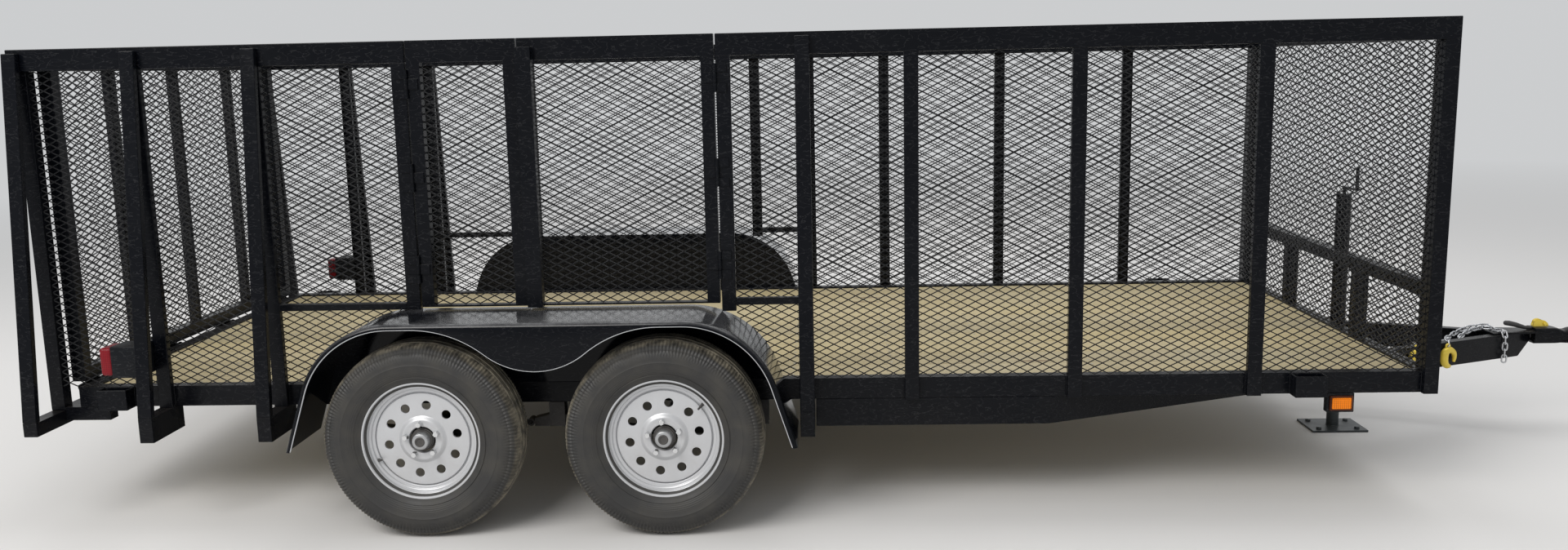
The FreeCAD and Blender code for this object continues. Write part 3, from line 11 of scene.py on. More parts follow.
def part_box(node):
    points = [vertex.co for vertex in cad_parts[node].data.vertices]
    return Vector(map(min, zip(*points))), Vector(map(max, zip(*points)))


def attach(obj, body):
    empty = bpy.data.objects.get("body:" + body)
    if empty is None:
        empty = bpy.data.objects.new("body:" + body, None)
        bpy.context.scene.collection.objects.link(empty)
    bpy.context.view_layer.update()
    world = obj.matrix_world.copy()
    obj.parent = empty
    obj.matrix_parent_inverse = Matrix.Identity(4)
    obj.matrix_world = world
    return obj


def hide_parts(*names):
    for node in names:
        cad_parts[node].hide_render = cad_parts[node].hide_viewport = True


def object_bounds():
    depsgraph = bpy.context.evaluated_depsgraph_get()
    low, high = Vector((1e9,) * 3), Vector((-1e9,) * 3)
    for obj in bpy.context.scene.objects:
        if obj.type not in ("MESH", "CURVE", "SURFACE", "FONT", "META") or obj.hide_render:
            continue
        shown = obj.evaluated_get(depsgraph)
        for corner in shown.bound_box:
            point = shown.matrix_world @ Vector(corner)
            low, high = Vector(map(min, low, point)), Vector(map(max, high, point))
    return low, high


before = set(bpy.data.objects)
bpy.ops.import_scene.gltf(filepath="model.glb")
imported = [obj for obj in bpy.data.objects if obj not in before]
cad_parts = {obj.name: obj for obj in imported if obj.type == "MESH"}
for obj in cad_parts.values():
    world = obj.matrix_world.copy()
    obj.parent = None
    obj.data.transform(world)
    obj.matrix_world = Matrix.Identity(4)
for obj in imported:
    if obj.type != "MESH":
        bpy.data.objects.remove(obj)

bl_info = {
    "name": "Mesh Wall Utility Trailer",
    "version": (1, 0, 0),
    "blender": (4, 5, 0),
    "location": "View3D > Sidebar > Trailer",
    "description": "Paints and details a tandem utility trailer on its CAD frame",
    "category": "Object",
}

CAD_LOW, CAD_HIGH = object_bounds()
DECK_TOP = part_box("deck_boards")[1].z
RAILS_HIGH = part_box("frame_rails")[1]
SIDES = (("right", -1), ("left", 1))
PLACES = ("rear", "front")
WHEELS = tuple((side, place, sign) for side, sign in SIDES for place in PLACES)


# ---- Sizes and colours that a user may change ----


def length(name, text, default):
    """A length in metres."""
    return FloatProperty(name=name, description=text, default=default, unit="LENGTH", precision=4)


def angle(name, text, default):
    """An angle in radians."""
    return FloatProperty(name=name, description=text, default=default, subtype="ANGLE",
                         unit="ROTATION")


def whole_number(name, text, default, least):
    """A count of like things."""
    return IntProperty(name=name, description=text, default=default, min=least)


def colour(name, text, default):
    """A colour in linear red, green and blue."""
    return FloatVectorProperty(name=name, description=text, default=default, subtype="COLOR",
                               size=3, min=0.0, max=1.0)


class TrailerFinish(bpy.types.PropertyGroup):
    """Colours of the trailer's finishes."""

    # This near-black is the paint's own colour; its blue tint is painted reflection of the sky.
    black: colour("Black paint", "Paint of the frame, posts and fenders", (0.0022, 0.0028, 0.0046))
    mesh_black: colour("Mesh paint", "Paint of the expanded metal", (0.0045, 0.0050, 0.0062))
    silver: colour("Wheel silver", "Paint of the steel wheels", (0.54, 0.55, 0.57))
    rubber: colour("Rubber", "Tyre rubber", (0.022, 0.0215, 0.021))
    dust: colour("Road dust", "Dry dust on upper faces and low parts", (0.36, 0.31, 0.25))
    # The fenders' upper faces get this pale grey as a painted sheen: it stands in for the sky
    # reflected in their glossy tops.
    painted_sheen: colour("Fender haze", "Pale dry film on the fenders' glossy tops", (0.36, 0.36, 0.37))
    tread_dust: colour("Tread dust", "Pale sand in the tread", (0.52, 0.46, 0.34))
    # Dark partly as painted shade, for the shadow deep in the dish round the cap; the rest is the
    # barrel's own dark steel.
    hub_dark_and_shade: colour("Hub", "Bare hub barrel, oiled and dark", (0.045, 0.045, 0.047))
    pine_light: colour("Pine, light", "Early wood of the treated boards", (0.50, 0.415, 0.225))
    pine_dark: colour("Pine, dark", "Late wood and grain lines", (0.31, 0.232, 0.105))
    zinc_yellow: colour("Yellow zinc", "Plated latch and hooks", (0.80, 0.60, 0.07))
    zinc_bright: colour("Bright zinc", "Plated chain", (0.62, 0.63, 0.65))
    lens_red: colour("Red lens", "Tail lamp lenses", (0.20, 0.006, 0.012))
    lens_amber: colour("Amber lens", "Marker lamp lenses", (0.95, 0.235, 0.006))
    lens_amber_rim: colour("Amber rim", "Dark edge of the marker lamps", (0.075, 0.016, 0.003))
    # Pale grey on the skirt's rolled edge is a painted highlight: it stands in for the light that
    # the bead catches.
    painted_edge_highlight: colour("Fender edge", "Rolled edge of the fender skirt, rubbed pale",
                        (0.50, 0.51, 0.53))


class TrailerMetal(bpy.types.PropertyGroup):
    """Sizes of the expanded metal, the edge rounding and the welds."""

    diamond_width: length("Diamond width", "Expanded metal, from bond to bond along", 0.053)
    diamond_height: length("Diamond height", "Expanded metal, from bond to bond upward", 0.027)
    strand_width: length("Strand width", "Width of one strand in the sheet's plane", 0.0036)
    strand_depth: length("Strand depth", "Thickness of one strand across the sheet", 0.0022)
    edge_radius: length("Edge radius", "Rounding of formed steel edges", 0.0025)
    weld_radius: length("Weld radius", "Half width of a weld bead", 0.0032)
    fender_bead: length("Fender bead", "Radius of the skirt's rolled edge", 0.0030)
    fender_corner: length("Fender corner", "Rounding from the fender's top to its skirt", 0.0158)


class TrailerTyre(bpy.types.PropertyGroup):
    """Sizes of the tyres' tread."""

    segments: whole_number("Segments", "Facets round a tyre", 336, 60)
    notch_every: whole_number("Notch spacing", "Segments from one shoulder notch to the next", 2, 2)
    notch_depth: length("Notch depth", "Depth of the shoulder notches", 0.0036)


class TrailerWheel(bpy.types.PropertyGroup):
    """Sizes of the steel wheels."""

    holes: whole_number("Holes", "Round holes in the disc", 10, 3)
    first_hole: angle("First hole", "Turn of the first hole about the axle", math.radians(9.2))
    hole_circle: length("Hole circle", "Radius of the circle of holes", 0.1215)
    hole_radius: length("Hole radius", "Radius of one hole", 0.0160)
    lugs: whole_number("Lug nuts", "Nuts round the hub", 5, 3)
    lug_circle: length("Lug circle", "Radius of the circle of nuts", 0.0571)
    first_lug: angle("First nut", "Turn of the first nut about the axle", math.radians(24))


class TrailerStage(bpy.types.PropertyGroup):
    """Camera, lamps and floor."""

    camera_place: FloatVectorProperty(
        name="Camera place", description="Camera in the trailer's frame", size=3,
        default=(-0.1832, -5.3808, 1.583), subtype="TRANSLATION", unit="LENGTH")
    pitch: angle("Pitch", "Camera tilt above the horizon", -0.1664)
    yaw: angle("Yaw", "Camera turn to the left", 0.0436)
    roll: angle("Roll", "Camera roll", -0.0224)
    lens: FloatProperty(name="Lens", description="Focal length on a 36 mm wide image",
                        default=29.02)
    shift_x: FloatProperty(name="Shift across", description="Lens shift, in image widths",
                           default=0.0080)
    shift_y: FloatProperty(name="Shift up", description="Lens shift, in image widths",
                           default=0.0033)
    floor: colour("Floor", "Plain floor", (0.72, 0.71, 0.70))
    floor_reach: length("Floor reach", "Radius of the floor", 400.0)
    fade_from: length("Fade from", "Distance at which the floor begins to fade", 6.0)
    fade_to: length("Fade to", "Distance at which the floor has the sky's colour", 17.0)
    sky: colour("Sky", "Colour of the even light", (0.97, 0.985, 1.0))
    sky_level: FloatProperty(name="Sky level", description="Strength of the even light",
                             default=0.62)
    key_power: FloatProperty(name="Key lamp", description="Power of the large soft lamp",
                             default=520.0, unit="POWER")


# ---- Making meshes ----


def halfway(first, second):
    """The point or number in the middle of two."""
    return (first + second) / 2


def full_turn(count):
    """Even angles round a circle."""
    return [2 * math.pi * index / count for index in range(count)]


def solid_boxes(name):
    """Low and high corner of each separate solid in a CAD node, from the rear forward."""
    work = bmesh.new()
    work.from_mesh(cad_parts[name].data)
    bmesh.ops.remove_doubles(work, verts=work.verts, dist=1e-5)
    left = set(work.verts)
    boxes = []
    while left:
        stack = [left.pop()]
        low, high = stack[0].co.copy(), stack[0].co.copy()
        while stack:
            vert = stack.pop()
            low = Vector(map(min, low, vert.co))
            high = Vector(map(max, high, vert.co))
            for edge in vert.link_edges:
                other = edge.other_vert(vert)
                if other in left:
                    left.remove(other)
                    stack.append(other)
        boxes.append((low, high))
    work.free()
    return sorted(boxes, key=lambda box: (round(box[0].x, 4), box[0].y))


def inner_outer(low, high):
    """How far a box's two sides are from the trailer's middle plane, and on which side it is."""
    return min(abs(low.y), abs(high.y)), max(abs(low.y), abs(high.y)), 1 if low.y > 0 else -1


def mesh_of(work, name, smooth_angle=35):
    """The bmesh as a mesh: faces outward, smooth, with sharp edges past an angle in degrees."""
    bmesh.ops.recalc_face_normals(work, faces=work.faces)
    mesh = bpy.data.meshes.new(name)
    work.to_mesh(mesh)
    work.free()
    mesh.shade_smooth()
    mesh.set_sharp_from_angle(angle=math.radians(smooth_angle))
    return mesh


def in_scene(name, data):
    """A new object with its data, in the scene."""
    item = bpy.data.objects.new(name, data)
    bpy.context.scene.collection.objects.link(item)
    return item


def put_mesh(name, mesh, material, body, stands_for=(), place=None):
    """A mesh in the scene on its body, with its material and the nodes that it replaces."""
    item = in_scene(name, mesh)
    if place is not None:
        item.location = place
    mesh.materials.clear()
    mesh.materials.append(MATERIALS[material])
    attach(item, body)
    if stands_for:
        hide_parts(*stands_for)


def put_piece(name, work, material, body, stands_for=(), place=None, smooth_angle=35):
    """The bmesh as a piece in the scene; it can't be used after this."""
    put_mesh(name, mesh_of(work, name, smooth_angle), material, body, stands_for, place)


def add_ring(work, points):
    """One vertex for each point."""
    return [work.verts.new(point) for point in points]


def bridge(work, first, second, closed=True):
    """Quads between two rings of the same count."""
    count = len(first)
    for index in range(count if closed else count - 1):
        after = (index + 1) % count
        work.faces.new((first[index], first[after], second[after], second[index]))


def join_rings(work, rings, closed=True, capped=False):
    """Quads along a row of rings; capped closes both ends."""
    for first, second in zip(rings, rings[1:]):
        bridge(work, first, second, closed)
    if capped:
        work.faces.new(rings[0])
        work.faces.new(list(reversed(rings[-1])))


def add_lathe(work, profile, segments, side=1, closed=False, shape=None):
    """Turn (across, radius) points about the Y axis; shape may move a point by its segment."""
    rings = []
    for across, radius in profile:
        points = []
        for index, turn in enumerate(full_turn(segments)):
            y, r = shape(across, radius, index) if shape else (across, radius)
            points.append((r * math.cos(turn), y * side, r * math.sin(turn)))
        rings.append(add_ring(work, points))
    join_rings(work, rings)
    if closed:
        bridge(work, rings[-1], rings[0])


def add_prism(work, outline, normal_axis, low, high):
    """A closed outline of 2D points as a solid between two heights along an axis."""
    others = [axis for axis in range(3) if axis != normal_axis]
    rings = []
    for level in (low, high):
        points = []
        for first, second in outline:
            point = [0.0, 0.0, 0.0]
            point[others[0]], point[others[1]], point[normal_axis] = first, second, level
            points.append(point)
        rings.append(add_ring(work, points))
    join_rings(work, rings, capped=True)


def rounded_box(work, low, high, radius, segments=3):
    """A box between two corners with its edges rounded."""
    outline = [(low[0], low[1]), (high[0], low[1]), (high[0], high[1]), (low[0], high[1])]
    known = set(work.edges)
    add_prism(work, outline, 2, low[2], high[2])
    edges = [edge for edge in work.edges if edge not in known]
    bmesh.ops.bevel(work, geom=edges, offset=radius, segments=segments, profile=0.5,
                    affect="EDGES")


def add_tube(work, points, radius, closed=False, sides=10):
    """A round bar that follows points; its radius is a number or a function of the index."""
    count = len(points)
    points = [Vector(point) for point in points]
    rings = []
    normal = None
    for index, point in enumerate(points):
        after = points[(index + 1) % count] if closed or index + 1 < count else point
        before = points[index - 1] if closed or index else point
        tangent = (after - before).normalized()
        if normal is None:
            normal = tangent.orthogonal().normalized()
        normal = (normal - tangent * normal.dot(tangent)).normalized()
        other = tangent.cross(normal)
        size = radius(index) if callable(radius) else radius
        rings.append(add_ring(work, [
            point + (normal * math.cos(turn) + other * math.sin(turn)) * size
            for turn in full_turn(sides)]))
    join_rings(work, rings, capped=not closed)
    if closed:
        last, first = rings[-1], rings[0]
        offset = min(range(sides), key=lambda step: (last[0].co - first[step].co).length)
        bridge(work, last, first[offset:] + first[:offset])


def add_loft(work, sections, count=28):
    """A body along X; each section is (x, half width, bottom, top, squareness)."""
    rings = []
    for x, half, bottom, top, square in sections:
        power = 2 / square
        ring = []
        for turn in full_turn(count):
            across, up = math.cos(turn), math.sin(turn)
            y = math.copysign(abs(across) ** power, across) * half
            z = halfway(bottom, top) + math.copysign(abs(up) ** power, up) * (top - bottom) / 2
            ring.append((x, y, z))
        rings.append(add_ring(work, ring))
    join_rings(work, rings, capped=True)


def add_hexagon(work, middle, axis, radius, height, start=0.0):
    """A hexagonal nut or bolt head with a slight crown, standing on its middle along an axis."""
    axis = Vector(axis).normalized()
    across = axis.orthogonal().normalized()
    up = axis.cross(across)
    rings = []
    for level, share in ((0.0, 1.0), (height * 0.85, 1.0), (height, 0.86)):
        ring = []
        for index in range(6):
            turn = start + math.pi / 3 * index
            ring.append(Vector(middle) + axis * level
                        + (across * math.cos(turn) + up * math.sin(turn)) * radius * share)
        rings.append(add_ring(work, ring))
    join_rings(work, rings)
    work.faces.new(rings[-1])
    work.faces.new(list(reversed(rings[0])))


def add_weld(work, start, end, radius):
    """A stack-of-coins weld bead between two points."""
    start, end = Vector(start), Vector(end)
    count = max(6, int((end - start).length / (radius * 0.55)))
    points = [start.lerp(end, index / count) for index in range(count + 1)]

    def ripple(index):
        return radius * (0.82 + 0.18 * (index % 2)) if 0 < index < count else radius * 0.4

    add_tube(work, points, ripple, sides=6)


# ---- Making materials ----


GROUPS = {}
MATERIALS = {}
FLOAT, COLOUR = "NodeSocketFloat", "NodeSocketColor"


def feed(tree, node, inputs):
    """Set a node's sockets, each to a value or to the output that feeds it."""
    for key, value in inputs.items():
        if isinstance(value, bpy.types.NodeSocket):
            tree.links.new(value, node.inputs[key])
        else:
            node.inputs[key].default_value = value


def add_node(tree, kind, inputs=None, **settings):
    """A new shader node with its settings and its inputs."""
    made = tree.nodes.new(kind)
    for key, value in settings.items():
        setattr(made, key, value)
    feed(tree, made, inputs or {})
    return made


def calc(tree, operation, *values, clamp=False):
    """The output of a Math node."""
    inputs = dict(enumerate(values))
    return add_node(tree, "ShaderNodeMath", inputs, operation=operation, use_clamp=clamp).outputs[0]


def spread(tree, value, low, high, new_low=0.0, new_high=1.0):
    """The output of a clamped Map Range node."""
    inputs = {"Value": value, "From Min": low, "From Max": high, "To Min": new_low,
              "To Max": new_high}
    return add_node(tree, "ShaderNodeMapRange", inputs).outputs["Result"]


def band(tree, value, rise, fall):
    """A mask that rises between two values and falls between two more."""
    return calc(tree, "MULTIPLY", spread(tree, value, *rise), spread(tree, value, *fall, 1.0, 0.0))


def blend_colours(tree, factor, first, second):
    """The first colour, or the second where the factor is one."""
    inputs = {0: factor, 6: first, 7: second}
    return add_node(tree, "ShaderNodeMix", inputs, data_type="RGBA").outputs[2]


def scaled(tree, vector, scale):
    """A colour or vector made brighter or longer."""
    return add_node(tree, "ShaderNodeVectorMath", {0: vector, "Scale": scale},
                    operation="SCALE").outputs[0]


def noise(tree, vector, scale, detail=3.0, roughness=0.55):
    """A Noise texture's value."""
    inputs = {"Vector": vector, "Scale": scale, "Detail": detail, "Roughness": roughness}
    return add_node(tree, "ShaderNodeTexNoise", inputs).outputs["Fac"]


def stretch(tree, vector, scale):
    """A vector scaled by its axes."""
    inputs = {"Vector": vector, "Scale": scale}
    return add_node(tree, "ShaderNodeMapping", inputs).outputs["Vector"]


def bands(tree, vector, scale, distortion, detail, detail_scale, direction="X"):
    """A Wave texture's bands."""
    inputs = {"Vector": vector, "Scale": scale, "Distortion": distortion, "Detail": detail,
              "Detail Scale": detail_scale}
    return add_node(tree, "ShaderNodeTexWave", inputs, wave_type="BANDS",
                    bands_direction=direction).outputs["Fac"]


def object_place(tree):
    """The place in the object's own coordinates."""
    return add_node(tree, "ShaderNodeTexCoord").outputs["Object"]


def split_axes(tree, vector):
    """The three parts of a vector."""
    return add_node(tree, "ShaderNodeSeparateXYZ", {0: vector}).outputs


def new_group(name, inputs, outputs):
    """A shader node group, with what its input node gives and its output node takes."""
    tree = bpy.data.node_groups.new(name, "ShaderNodeTree")
    for label, kind, default in inputs:
        socket = tree.interface.new_socket(name=label, in_out="INPUT", socket_type=kind)
        socket.default_value = default
    for label, kind in outputs:
        tree.interface.new_socket(name=label, in_out="OUTPUT", socket_type=kind)
    given = tree.nodes.new("NodeGroupInput").outputs
    return tree, given, tree.nodes.new("NodeGroupOutput").inputs


def build_dust_group():
    """Where dry dust lies, and on the fenders the painted sheen: on faces that look up, and low on
    the trailer.
    """
    tree, given, out = new_group("Road dust", [
        ("Upper faces", FLOAT, 0.3), ("Low parts", FLOAT, 0.3), ("Reach", FLOAT, 0.5),
        ("Scale", FLOAT, 3.0),
    ], [("Mask", FLOAT), ("Top", FLOAT)])
    place = object_place(tree)
    normal = add_node(tree, "ShaderNodeNewGeometry").outputs["Normal"]
    facing = split_axes(tree, normal)["Z"]
    tree.links.new(spread(tree, facing, 0.2, 0.9), out["Top"])
    height = split_axes(tree, place)["Z"]
    upper = calc(tree, "MULTIPLY", spread(tree, facing, 0.35, 1.0), given["Upper faces"])
    raised = calc(tree, "DIVIDE", height, given["Reach"])
    low = calc(tree, "MULTIPLY", calc(tree, "SUBTRACT", 1.0, raised, clamp=True),
               given["Low parts"])
    broad = spread(tree, noise(tree, place, given["Scale"], 5.0, 0.62), 0.34, 0.72)
    fine_scale = calc(tree, "MULTIPLY", given["Scale"], 28.0)
    fine = spread(tree, noise(tree, place, fine_scale, 2.0), 0.3, 0.7)
    patches = calc(tree, "MULTIPLY", broad, calc(tree, "MULTIPLY_ADD", fine, 0.5, 0.5))
    dust = calc(tree, "MULTIPLY", calc(tree, "ADD", upper, low), patches, clamp=True)
    tree.links.new(dust, out["Mask"])
    return tree


def build_paint_group():
    """Sprayed paint: slow colour drift, uneven gloss, fine orange peel and hairline rubs."""
    tree, given, out = new_group("Sprayed paint", [
        ("Color", COLOUR, (0.5, 0.5, 0.5, 1)), ("Drift", FLOAT, 0.15), ("Roughness", FLOAT, 0.35),
        ("Unevenness", FLOAT, 0.12), ("Peel scale", FLOAT, 260.0), ("Rubs", FLOAT, 0.3),
    ], [("Color", COLOUR), ("Roughness", FLOAT), ("Height", FLOAT)])
    rubbed_colour = (0.30, 0.30, 0.31, 1)
    place = object_place(tree)
    slow = calc(tree, "SUBTRACT", noise(tree, place, 1.7, 4.0), 0.5)
    level = calc(tree, "MULTIPLY_ADD", calc(tree, "MULTIPLY", slow, given["Drift"]), 2.0, 1.0)
    streaks = bands(tree, stretch(tree, place, (3.0, 21.0, 9.0)), 1.6, 22.0, 4.0, 2.4)
    rub = calc(tree, "MULTIPLY", spread(tree, streaks, 0.965, 1.0), given["Rubs"])
    paint = scaled(tree, given["Color"], level)
    tree.links.new(blend_colours(tree, calc(tree, "MULTIPLY", rub, 0.25), paint, rubbed_colour),
                   out["Color"])
    gloss = spread(tree, noise(tree, place, 6.5, 6.0, 0.6), 0.3, 0.7, -1.0, 1.0)
    rough = calc(tree, "MULTIPLY_ADD", gloss, given["Unevenness"], given["Roughness"])
    tree.links.new(calc(tree, "ADD", rough, calc(tree, "MULTIPLY", rub, 0.2), clamp=True),
                   out["Roughness"])
    peel = noise(tree, place, given["Peel scale"], 2.0)
    height = calc(tree, "MULTIPLY_ADD", noise(tree, place, 4.0, 2.0), 1.5, peel)
    tree.links.new(calc(tree, "SUBTRACT", height, rub), out["Height"])
    return tree


def build_pine_group():
    """Treated pine boards along X: grain, growth lines, knots and a tint for each board."""
    tree, given, out = new_group("Pine boards", [
        ("Light", COLOUR, (0.6, 0.5, 0.3, 1)), ("Dark", COLOUR, (0.3, 0.2, 0.1, 1)),
        ("First edge", FLOAT, -0.9), ("Pitch", FLOAT, 0.185),
    ], [("Color", COLOUR), ("Roughness", FLOAT), ("Height", FLOAT)])
    weathered_colour, knot_colour = (0.50, 0.48, 0.40, 1), (0.16, 0.09, 0.04, 1)
    place = split_axes(tree, object_place(tree))
    across = calc(tree, "SUBTRACT", place["Y"], given["First edge"])
    board = calc(tree, "FLOOR", calc(tree, "DIVIDE", across, given["Pitch"]))
    luck = add_node(tree, "ShaderNodeTexWhiteNoise", {"W": board},
                    noise_dimensions="1D").outputs["Value"]
    start = calc(tree, "MULTIPLY", luck, 37.0)
    moved = add_node(tree, "ShaderNodeCombineXYZ", {
        "X": calc(tree, "ADD", place["X"], start), "Y": place["Y"],
        "Z": calc(tree, "ADD", place["Z"], start)}).outputs[0]
    wander = noise(tree, stretch(tree, moved, (0.9, 3.0, 3.0)), 1.3, 3.0)
    sideways = add_node(tree, "ShaderNodeCombineXYZ", {
        "Y": calc(tree, "MULTIPLY", wander, 0.16)}).outputs[0]
    bent = add_node(tree, "ShaderNodeVectorMath", {0: moved, 1: sideways},
                    operation="ADD").outputs[0]
    lines = bands(tree, stretch(tree, bent, (0.35, 1.0, 1.0)), 26.0, 5.0, 3.0, 1.4, "Y")
    fibres = noise(tree, stretch(tree, bent, (3.0, 190.0, 190.0)), 1.0, 4.0, 0.6)
    cells = add_node(tree, "ShaderNodeTexVoronoi", {
        "Vector": stretch(tree, moved, (1.15, 5.4, 0.0)), "Scale": 1.0, "Randomness": 1.0})
    knot = spread(tree, cells.outputs["Distance"], 0.055, 0.11, 1.0, 0.0)
    grey = spread(tree, noise(tree, moved, 0.8, 5.0, 0.6), 0.35, 0.75)
    late = calc(tree, "MULTIPLY", spread(tree, lines, 0.55, 0.98), 0.62)
    coarse = calc(tree, "MULTIPLY", spread(tree, fibres, 0.45, 0.8), 0.34)
    wood = blend_colours(tree, calc(tree, "ADD", late, coarse, clamp=True), given["Light"],
                         given["Dark"])
    tinted = scaled(tree, wood, calc(tree, "MULTIPLY_ADD", luck, 0.24, 0.88))
    weathered = blend_colours(tree, calc(tree, "MULTIPLY", grey, 0.30), tinted, weathered_colour)
    tree.links.new(blend_colours(tree, calc(tree, "MULTIPLY", knot, 0.80), weathered, knot_colour),
                   out["Color"])
    tree.links.new(spread(tree, fibres, 0.2, 0.8, 0.62, 0.85), out["Roughness"])
    height = calc(tree, "MULTIPLY_ADD", lines, -0.5, calc(tree, "MULTIPLY", fibres, 0.8))
    tree.links.new(calc(tree, "SUBTRACT", height, calc(tree, "MULTIPLY", knot, 0.4)),
                   out["Height"])
    return tree


# Radii at which the side wall's serrations and moulding rings begin and end, in metres.
SERRATED, RINGED = ((0.290, 0.297), (0.311, 0.319)), ((0.228, 0.234), (0.250, 0.258))


def build_rubber_group():
    """Tyre rubber about the Y axis: moulding rings, radial serrations, scuffs and dusty tread."""
    tree, given, out = new_group("Tyre rubber", [
        ("Color", COLOUR, (0.03, 0.03, 0.03, 1)), ("Dust", COLOUR, (0.3, 0.27, 0.22, 1)),
        ("Tread from", FLOAT, 0.326), ("Serrations", FLOAT, 190.0),
    ], [("Color", COLOUR), ("Roughness", FLOAT), ("Height", FLOAT)])
    ring_pitch, sipe_count, sipe_slant = 980.0, 236.0, 60.0
    place = object_place(tree)
    axes = split_axes(tree, place)
    x, z = axes["X"], axes["Z"]
    squares = calc(tree, "ADD", calc(tree, "MULTIPLY", x, x), calc(tree, "MULTIPLY", z, z))
    radius = calc(tree, "SQRT", squares)
    turn = calc(tree, "ARCTAN2", z, x)
    ribs = calc(tree, "SINE", calc(tree, "MULTIPLY", turn, given["Serrations"]))
    rings = calc(tree, "SINE", calc(tree, "MULTIPLY", radius, ring_pitch))
    tread_to = calc(tree, "ADD", given["Tread from"], 0.012)
    tread = spread(tree, radius, given["Tread from"], tread_to)
    slant = calc(tree, "MULTIPLY", axes["Y"], sipe_slant)
    sipe_wave = calc(tree, "SINE", calc(tree, "MULTIPLY_ADD", turn, sipe_count, slant))
    sipes = spread(tree, sipe_wave, 0.55, 0.9)
    grain = noise(tree, place, 420.0, 2.0)
    scuff = spread(tree, noise(tree, place, 9.0, 6.0, 0.62), 0.42, 0.75)
    worn = calc(tree, "MULTIPLY", tread, spread(tree, noise(tree, place, 30.0, 5.0), 0.3, 0.7))
    faint = calc(tree, "MULTIPLY", scuff, 0.055)
    dusty = calc(tree, "MULTIPLY_ADD", worn, 0.50, faint, clamp=True)
    tree.links.new(blend_colours(tree, dusty, given["Color"], given["Dust"]), out["Color"])
    rough = calc(tree, "MULTIPLY_ADD", scuff, 0.22, 0.50)
    tree.links.new(calc(tree, "MULTIPLY_ADD", worn, 0.2, rough, clamp=True), out["Roughness"])
    serrated = calc(tree, "MULTIPLY", ribs, band(tree, radius, *SERRATED))
    ringed = calc(tree, "MULTIPLY", rings, band(tree, radius, *RINGED))
    relief = calc(tree, "MULTIPLY_ADD", ringed, 0.35, calc(tree, "MULTIPLY", serrated, 0.55))
    relief = calc(tree, "SUBTRACT", relief, calc(tree, "MULTIPLY", tread, sipes))
    tree.links.new(calc(tree, "MULTIPLY_ADD", grain, 0.22, relief), out["Height"])
    return tree


def build_lens_group():
    """Moulded lamp lens: prism ribs across a fine grid."""
    tree, given, out = new_group("Lens prisms", [
        ("Color", COLOUR, (0.5, 0.1, 0.1, 1)), ("Ribs", FLOAT, 900.0),
    ], [("Color", COLOUR), ("Height", FLOAT)])
    axes = split_axes(tree, object_place(tree))
    along = calc(tree, "ADD", axes["X"], axes["Y"])
    flutes = calc(tree, "SINE", calc(tree, "MULTIPLY", along, given["Ribs"]))
    steps = calc(tree, "SINE", calc(tree, "MULTIPLY", axes["Z"], given["Ribs"]))
    height = calc(tree, "MULTIPLY_ADD", steps, 0.6, flutes)
    level = spread(tree, height, -1.6, 1.6, 0.62, 1.18)
    tree.links.new(scaled(tree, given["Color"], level), out["Color"])
    tree.links.new(height, out["Height"])
    return tree


def group_node(tree, name, inputs):
    """The outputs of a node group's node."""
    return add_node(tree, "ShaderNodeGroup", inputs, node_tree=GROUPS[name]).outputs


def new_material(name):
    """A new material's node tree and its shader."""
    material = bpy.data.materials.new(name)
    material.use_nodes = True
    MATERIALS[name] = material
    return material.node_tree, material.node_tree.nodes["Principled BSDF"]


def opaque(values):
    """A colour with full alpha."""
    return (*values, 1.0)


def set_bump(tree, shader, height, strength, distance):
    """Feed a height to the shader's normal."""
    inputs = {"Strength": strength, "Distance": distance, "Height": height}
    feed(tree, shader, {"Normal": add_node(tree, "ShaderNodeBump", inputs).outputs[0]})


def painted(name, base, dust_and_sheen, roughness, dust, drift=0.15, unevenness=0.10, peel=260.0, rubs=0.3,
            metallic=0.0, coat=0.0, bump=0.12, mirror=0.5, glossy_top=False):
    """Painted or plated steel with orange peel and rubs under a layer of dust; on the fenders that
    layer is a pale painted sheen, for the sky reflected in their tops.

    dust is that layer's share on upper faces and on low parts; glossy_top gives the clear
    coat to upper faces only.
    """
    tree, shader = new_material(name)
    paint = group_node(tree, "paint", {
        "Color": opaque(base), "Drift": drift, "Roughness": roughness, "Unevenness": unevenness,
        "Peel scale": peel, "Rubs": rubs})
    lying = group_node(tree, "dust", {
        "Upper faces": dust[0], "Low parts": dust[1], "Reach": 0.62, "Scale": 3.0})
    mask = lying["Mask"]
    feed(tree, shader, {
        "Base Color": blend_colours(tree, mask, paint["Color"], opaque(dust_and_sheen)),
        "Roughness": calc(tree, "MULTIPLY_ADD", mask, 0.45, paint["Roughness"], clamp=True),
        "Metallic": metallic, "Specular IOR Level": mirror,
        "Coat Weight": lying["Top"] if glossy_top else coat, "Coat Roughness": 0.12})
    set_bump(tree, shader, paint["Height"], bump, 0.0006)


